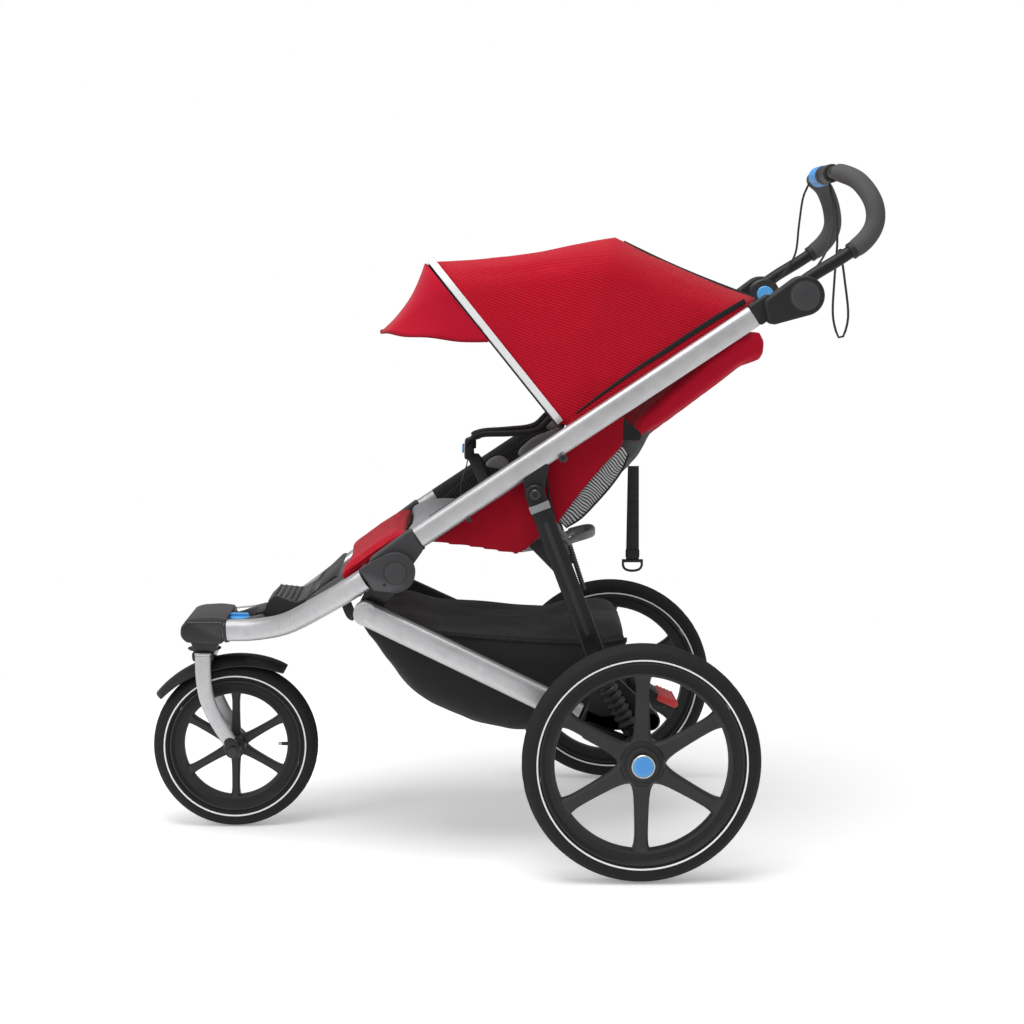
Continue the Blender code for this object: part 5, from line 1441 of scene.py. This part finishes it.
def make_visor():
    """Brim sewn to the front hoop. It keeps its own curve, with a hem along its lip."""
    lip = [(reach, math.radians(turn), y) for reach, turn, y in VISOR_LIP]
    lip += [(reach, turn, -y) for reach, turn, y in reversed(lip)]
    lip = [at(*CANOPY) + Vector((math.cos(t) * r, y, math.sin(t) * r)) for r, t, y in lip]
    arch = hoop(129.9, 0.37, start=0.195)
    lip = smooth_route(lip, route_length(lip) / (len(arch) - 1))
    while len(lip) > len(arch):
        lip.pop(len(lip) // 2)
    while len(lip) < len(arch):
        lip.insert(len(lip) // 2, (lip[len(lip) // 2 - 1] + lip[len(lip) // 2]) / 2)
    rows = []
    for step in range(15):
        t = step / 14
        row = []
        for a, b in zip(arch, lip):
            place = a.lerp(b, t)
            top = 1 - (abs(a.y) / HOOP_Y) ** 4
            place += Vector((0.875, 0.0, -0.486)) * (0.012 * top * math.sin(math.pi * t))
            row.append(place)
        rows.append(row)
    mesh = grid(rows, canopy_uv)
    crumple(mesh, 14.0, 0.0022)
    brim = piece("visor_brim", mesh, "red_plain", "canopy_front", ["canopy_visor"])
    thicken(brim, 0.0016, -1.0)
    edge = [vertex.co.copy() for vertex in mesh.vertices][-len(arch):]
    piece("visor_hem", sweep(edge, oval(0.0036, 0.005, 12)), "red_hem", "canopy_front")


# --- seat ---


def share_on(a, b, place):
    """How far along the line from a to b, from 0 to 1, a place is nearest to it."""
    return max(0.0, min(1.0, (place - a).dot(b - a) / max((b - a).length_squared, 1e-12)))


WALL_VOXEL = 0.004
WALL_EDGE = 0.03  # a wall's bulge and folds fade out over this reach


def cloth_wall(name, outline, ends, material, bulge, folds=()):
    """A sewn side panel of the seat: a filled outline whose middle swells outwards, with soft folds across it."""
    low, high = ends
    corners = rounded_outline(outline, 0.012)

    def build(made):
        rim = [made.verts.new(at(x, z, low)) for x, z in corners]
        face = made.faces.new(rim)
        grown = bmesh.ops.extrude_face_region(made, geom=[face])["geom"]
        lifted = [v for v in grown if isinstance(v, bmesh.types.BMVert)]
        bmesh.ops.translate(made, verts=lifted, vec=(0.0, high - low, 0.0))
        bmesh.ops.recalc_face_normals(made, faces=made.faces)

    made = piece(name, tidied(build), material, "upper_frame")
    size = made.modifiers.new("even", "REMESH")
    size.mode = "VOXEL"
    size.voxel_size = WALL_VOXEL
    settle(made)
    mesh = made.data
    middle = (low + high) / 2
    outward = math.copysign(1.0, middle)
    side = [Vector((x + AXLE_X, z)) for x, z in corners]
    for vertex in mesh.vertices:
        place = Vector((vertex.co.x, vertex.co.z))
        reach = min((place - (a + (b - a) * share_on(a, b, place))).length
                    for a, b in zip(side, side[1:] + side[:1]))
        share = min(1.0, reach / WALL_EDGE)
        swell = bulge * (1 - (1 - share) ** 2)
        for (fx, fz), (gx, gz), depth, width in folds:
            a, b = Vector((fx + AXLE_X, fz)), Vector((gx + AXLE_X, gz))
            off = (place - a.lerp(b, share_on(a, b, place))).length
            swell -= depth * math.exp(-(off / width) ** 2) * share
        swell += noise.noise(vertex.co * 16.0) * 0.0016 * share
        if (vertex.co.y - middle) * outward > 0:
            vertex.co.y += outward * swell
    mesh.shade_smooth()
    smooth = made.modifiers.new("smooth", "SMOOTH")
    smooth.factor, smooth.iterations = 0.5, 3
    settle(made)


def make_seat():
    side = [(-0.356, 0.548), (-0.34, 0.542), (-0.286, 0.536), (-0.202, 0.5225), (-0.189, 0.53), (-0.164, 0.554),
            (-0.14, 0.572), (-0.147, 0.615), (-0.156, 0.684), (-0.3, 0.598)]
    for key, sign in SIDES.items():
        # The seat's side walls take the darker red of painted shade.
        cloth_wall("sling_side_" + key, side, span(sign, 0.1745, 0.1795), "red_painted_shade", 0.0025,
                   folds=[((-0.23, 0.62), (-0.2, 0.53), 0.0022, 0.006)])
        rear = [(-0.15, 0.58), (-0.138, 0.571), (-0.122, 0.5935), (-0.0965, 0.628), (-0.062, 0.67), (-0.023, 0.71),
                (-0.02, 0.766), (-0.12, 0.7), (-0.162, 0.68)]
        cloth_wall("sling_rear_" + key, rear, span(sign, 0.1715, 0.1765), "red_painted_shade", 0.002)
        edge = [(-0.156, 0.67), (-0.1535, 0.648), (-0.148, 0.615), (-0.137, 0.571)]
        piping = traced(edge, sign * 0.18, 0.008)
        piece("sling_piping_" + key, bar(piping, oval(0.0042, 0.0042, 12), 0.002), "charcoal", "upper_frame")
        gusset = [(-0.183, 0.535), (-0.164, 0.549), (-0.133, 0.495), (-0.137, 0.488)]
        folded = plate(gusset, 0.004, *span(sign, 0.16, 0.162), 0.0004)
        piece("sling_gusset_" + key, folded, "webbing", "upper_frame")
        black = [(-0.058, 0.726), (-0.022, 0.7525), (-0.001, 0.741), (0.009, 0.732), (0.006, 0.72), (-0.015, 0.72),
                 (-0.043, 0.725)]
        patch = plate(black, 0.004, *span(sign, 0.1716, 0.175), 0.001)
        piece("recline_patch_" + key, patch, "charcoal", "upper_frame")
    make_mesh_panel()
    cushion = [(-0.393, 0.544), (-0.395, 0.562), (-0.376, 0.572), (-0.34, 0.576), (-0.26, 0.574), (-0.19, 0.572),
               (-0.16, 0.576), (-0.13, 0.592), (-0.125, 0.572), (-0.145, 0.535), (-0.197, 0.527), (-0.338, 0.542)]
    padded_form("seat_cushion", cushion, -0.158, 0.158, "grey_pad", "upper_frame", ["seat_sling"])
    make_leg_rest()
    make_back()
    make_harness()


def make_mesh_panel():
    """Striped airing mesh between the seat's back edge and the red side."""
    outer = [(-0.011, 0.695), (-0.022, 0.667), (-0.042, 0.638), (-0.068, 0.608), (-0.094, 0.5815), (-0.119, 0.566)]
    inner = [(-0.023, 0.71), (-0.062, 0.67), (-0.0965, 0.628), (-0.122, 0.5935), (-0.132, 0.58)]
    for key, sign in SIDES.items():
        a = traced(outer, sign * 0.148, 0.004)
        b = traced(inner, sign * 0.164, 0.004)
        count = min(len(a), len(b))
        rows = [[a[i * (len(a) - 1) // (count - 1)].lerp(b[i * (len(b) - 1) // (count - 1)], t / 6)
                 for t in range(7)] for i in range(count)]
        panel = piece("airing_mesh_" + key, grid(rows), "zebra", "upper_frame")
        thicken(panel, 0.0012)
        piece("airing_hem_" + key, sweep([row[0] for row in rows], oval(0.0034, 0.005, 12)), "charcoal",
              "upper_frame")


def make_leg_rest():
    outline = [(-0.509, 0.474), (-0.504, 0.485), (-0.489, 0.497), (-0.4494, 0.527), (-0.41, 0.552), (-0.393, 0.562),
               (-0.39, 0.552), (-0.399, 0.54), (-0.44, 0.513), (-0.495, 0.472)]
    padded_form("leg_cushion", outline, -0.16, 0.16, "red_seat", "upper_frame", ["leg_rest"])
    line = [(-0.493, 0.4915), (-0.46, 0.516), (-0.43, 0.5365), (-0.398, 0.556)]
    for key, sign in SIDES.items():
        for row, y in enumerate((0.16, 0.143)):
            seam = bar(traced(line, sign * y, 0.008), oval(0.0034, 0.0034, 12), 0.002)
            piece(f"leg_seam_{key}_{row + 1}", seam, "red_hem", "upper_frame")


WING_Y = 0.13


def make_back():
    """Backrest with the bag of cloth behind it, and the grey lining in front."""
    bag = [(-0.006, 0.7), (0.009, 0.718), (0.044, 0.745), (0.114, 0.798), (0.183, 0.85), (0.228, 0.87), (0.232, 0.89),
           (0.223, 0.908), (0.183, 0.895), (0.13, 0.86), (0.06, 0.796), (0.0, 0.74)]
    padded_form("back_cover", bag, -0.144, 0.144, "red_plain", "backrest", ["seat_back"])
    panel = [(-0.131, 0.605), (-0.13, 0.59), (-0.123, 0.58), (-0.066, 0.623), (-0.01, 0.676), (0.004, 0.694),
             (0.05, 0.78), (0.125, 0.856), (0.0, 0.732)]
    padded_form("back_lining", panel, -0.14, 0.14, "grey_dark", "backrest", [])
    wings = {
        "lap": [(-0.256, 0.642), (-0.251, 0.653), (-0.229, 0.666), (-0.206, 0.652), (-0.216, 0.635)],
        "shoulder": [(-0.194, 0.662), (-0.1915, 0.674), (-0.164, 0.699), (-0.126, 0.713), (-0.113, 0.715),
                     (-0.11, 0.69), (-0.15, 0.66)],
    }
    for name, outline in wings.items():
        for key, sign in SIDES.items():
            ends = span(sign, WING_Y, WING_Y + 0.012)
            cloth_wall(f"{name}_wing_{key}", outline, ends, "grey_pad", 0.004)
    lining = [(-0.356, 0.562), (-0.33, 0.586), (-0.299, 0.614), (-0.229, 0.662), (-0.15, 0.712), (-0.1, 0.71),
              (-0.13, 0.6), (-0.2, 0.58), (-0.3, 0.57)]
    for key, sign in SIDES.items():
        cloth_wall("side_lining_" + key, lining, span(sign, 0.163, 0.166), "netting", 0.0)


def strap(name, route, width=0.022):
    """Flat webbing that lies level across the stroller, along a route of places."""
    section = [(across, up) for up, across in ribbon(width, 0.0016)]
    piece(name, bar(smooth_route([at(*p) for p in route], 0.008), section, 0.001, UP), "webbing", "upper_frame")


def make_harness():
    """Five-point harness: padded shoulder straps, waist straps, crotch strap and a middle buckle."""
    for key, sign in SIDES.items():
        y = sign * 0.052
        route = [(-0.09, 0.79, y), (-0.143, 0.748, y), (-0.168, 0.726, y), (-0.214, 0.72, y * 0.85),
                 (-0.26, 0.717, y * 0.6), (-0.279, 0.707, y * 0.45), (-0.2835, 0.69, y * 0.35)]
        places = smooth_route([at(*p) for p in route], 0.008)
        pad = bar(places[:-3], oval(0.042, 0.01, 28, 0.8), 0.004, UP)
        piece("shoulder_pad_" + key, pad, "charcoal", "upper_frame")
        strap("shoulder_strap_" + key, route[3:])
        waist = [(-0.244, 0.576, sign * 0.148), (-0.25, 0.6, sign * 0.14), (-0.256, 0.63, sign * 0.12),
                 (-0.268, 0.656, sign * 0.085), (-0.279, 0.676, sign * 0.035)]
        strap("waist_strap_" + key, waist)
    crotch = [(-0.305, 0.572), (-0.302, 0.5975), (-0.299, 0.6285), (-0.291, 0.656), (-0.288, 0.674)]
    strap("crotch_strap", crotch, 0.03)
    shell = rounded_outline([(-0.295, 0.67), (-0.294, 0.706), (-0.279, 0.709), (-0.276, 0.672)], 0.006)
    piece("buckle", slab(shell, -0.024, 0.024, 0.004), "dark_plastic", "upper_frame")
    press = [(0.0, 0.0), (0.0085, 0.0), (0.0085, 0.0028), (0.006, 0.0038), (0.0, 0.004)]
    piece("buckle_button", lathe(press, at(-0.295, 0.689), (-1.0, 0.0, 0.05), 40), "blue", "upper_frame")


# --- basket ---

BASKET_FLOOR = [(-0.472, 0.396), (-0.46, 0.369), (-0.449, 0.353), (-0.431, 0.329), (-0.414, 0.306), (-0.396, 0.285),
                (-0.37, 0.26), (-0.335, 0.237), (-0.301, 0.222), (-0.266, 0.211), (-0.231, 0.204), (-0.18, 0.198),
                (-0.09, 0.22), (-0.035, 0.29), (-0.01, 0.36)]
BASKET_RIM = [(-0.472, 0.399), (-0.43, 0.393), (-0.354, 0.385), (-0.267, 0.377), (-0.181, 0.371), (-0.085, 0.367),
              (-0.01, 0.372)]
COVER_CROWN = [(-0.472, 0.004), (-0.456, 0.016), (-0.392, 0.019), (-0.342, 0.007), (-0.32, 0.006), (-0.145, 0.013),
               (-0.105, 0.03), (-0.03, 0.03), (-0.01, 0.016)]
BASKET_HALF, BASKET_POWER = 0.16, 4.5
BASKET_TOP, BASKET_FLAT = (-0.25, 0.385), 0.3  # a side-view place above the basket, and a share of a height


def height_on(line, x):
    """The height of a side-view line of (x, z) at x."""
    for (ax, az), (bx, bz) in zip(line, line[1:]):
        if x <= bx:
            return mix(az, bz, max(0.0, (x - ax) / (bx - ax)))
    return line[-1][1]


def flatten(made):
    """Gives a piece of the basket's cloth a mesh of its own."""
    at(*BASKET_TOP)
    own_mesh(made)


def make_basket():
    """Luggage bag hung from the lower frame: a loft of sagging sections under a zipped cover."""
    start, end = BASKET_FLOOR[0][0], BASKET_FLOOR[-1][0]
    sag = [(p.x, p.y) for p in smooth_route([Vector((x, z, 0.0)) for x, z in BASKET_FLOOR], 0.006)]
    rows, rims = [], []
    for step in range(73):
        x = mix(start, end, step / 72)
        rim, floor = height_on(BASKET_RIM, x), height_on(sag, x)
        wide = BASKET_HALF * min(1.0, 0.8 + 2.2 * (x - start), 0.86 + 3.0 * (end - x))
        depth = max(rim - floor, 0.004)
        row = []
        for i in range(65):
            turn = math.pi * i / 64
            a, b = -math.cos(turn), math.sin(turn)
            y = math.copysign(abs(a) ** (2 / BASKET_POWER), a) * wide
            z = rim - abs(b) ** (2 / BASKET_POWER) * depth
            row.append(at(x, z, y))
        rims.append((x, rim, wide))
        rows.append(row)
    mesh = grid(rows)

    def below(place):
        return min(1.0, max(0.0, (height_on(BASKET_RIM, place.x - AXLE_X) - place.z) / 0.035))

    crumple(mesh, 8.0, 0.007, below)
    crumple(mesh, 24.0, 0.0024, below)
    bag = piece("basket_bag", mesh, "charcoal", "rear_frame", ["basket"])
    thicken(bag, 0.0018, 1.0)
    flatten(bag)
    make_basket_cover(rims)


def make_basket_cover(rims):
    rows = []
    for x, rim, wide in rims[1:-1]:
        crown = height_on(COVER_CROWN, x)
        row = []
        for i in range(41):
            share = -1 + 2 * i / 40
            z = rim + crown * (1 - share**6) - 0.0005
            row.append(at(x, z, share * (wide - 0.0008)))
        rows.append(row)
    mesh = grid(rows)
    edge = BASKET_HALF - 0.02
    crumple(mesh, 9.0, 0.006, lambda p: max(0.0, min(1.0, (BASKET_HALF - abs(p.y)) / 0.03)))
    crumple(mesh, 30.0, 0.0016, lambda p: max(0.0, min(1.0, (edge - abs(p.y)) / 0.03)))
    cover = piece("basket_cover", mesh, "charcoal_cover", "rear_frame")
    thicken(cover, 0.0016, -1.0)
    flatten(cover)
    for key, sign in SIDES.items():
        line = [at(x, rim, sign * (wide + 0.0006)) for x, rim, wide in rims[1:-1]]
        flatten(piece("basket_seam_" + key, sweep(line, ribbon(0.003, 0.007)), "charcoal", "rear_frame"))
        teeth = []
        for place in smooth_route(line, 0.0075):
            out = Vector((0.0, sign * 0.0014, 0.0))
            teeth.append(rod(place + out - Vector((0.0014, 0.0, 0.0)), place + out + Vector((0.0014, 0.0, 0.0)),
                             0.001, 0.0004, 8))
        flatten(piece("basket_zip_" + key, joined(*teeth), "boot", "rear_frame"))
        hanger = smooth_route([at(-0.483, 0.403, sign * 0.118), at(-0.49, 0.415, sign * 0.15),
                               at(-0.498, 0.438, sign * 0.164)], 0.006)
        piece("basket_strap_" + key, bar(hanger, ribbon(0.0018, 0.018), 0.001), "webbing", "rear_frame")


make_camera()
make_studio()
make_tubes()
make_hinges()
make_struts()
make_rear_axle()
make_head()
make_footrest()
make_fork()
make_handlebar()
make_canopy()
make_seat()
make_basket()
make_cords()
make_wheels()
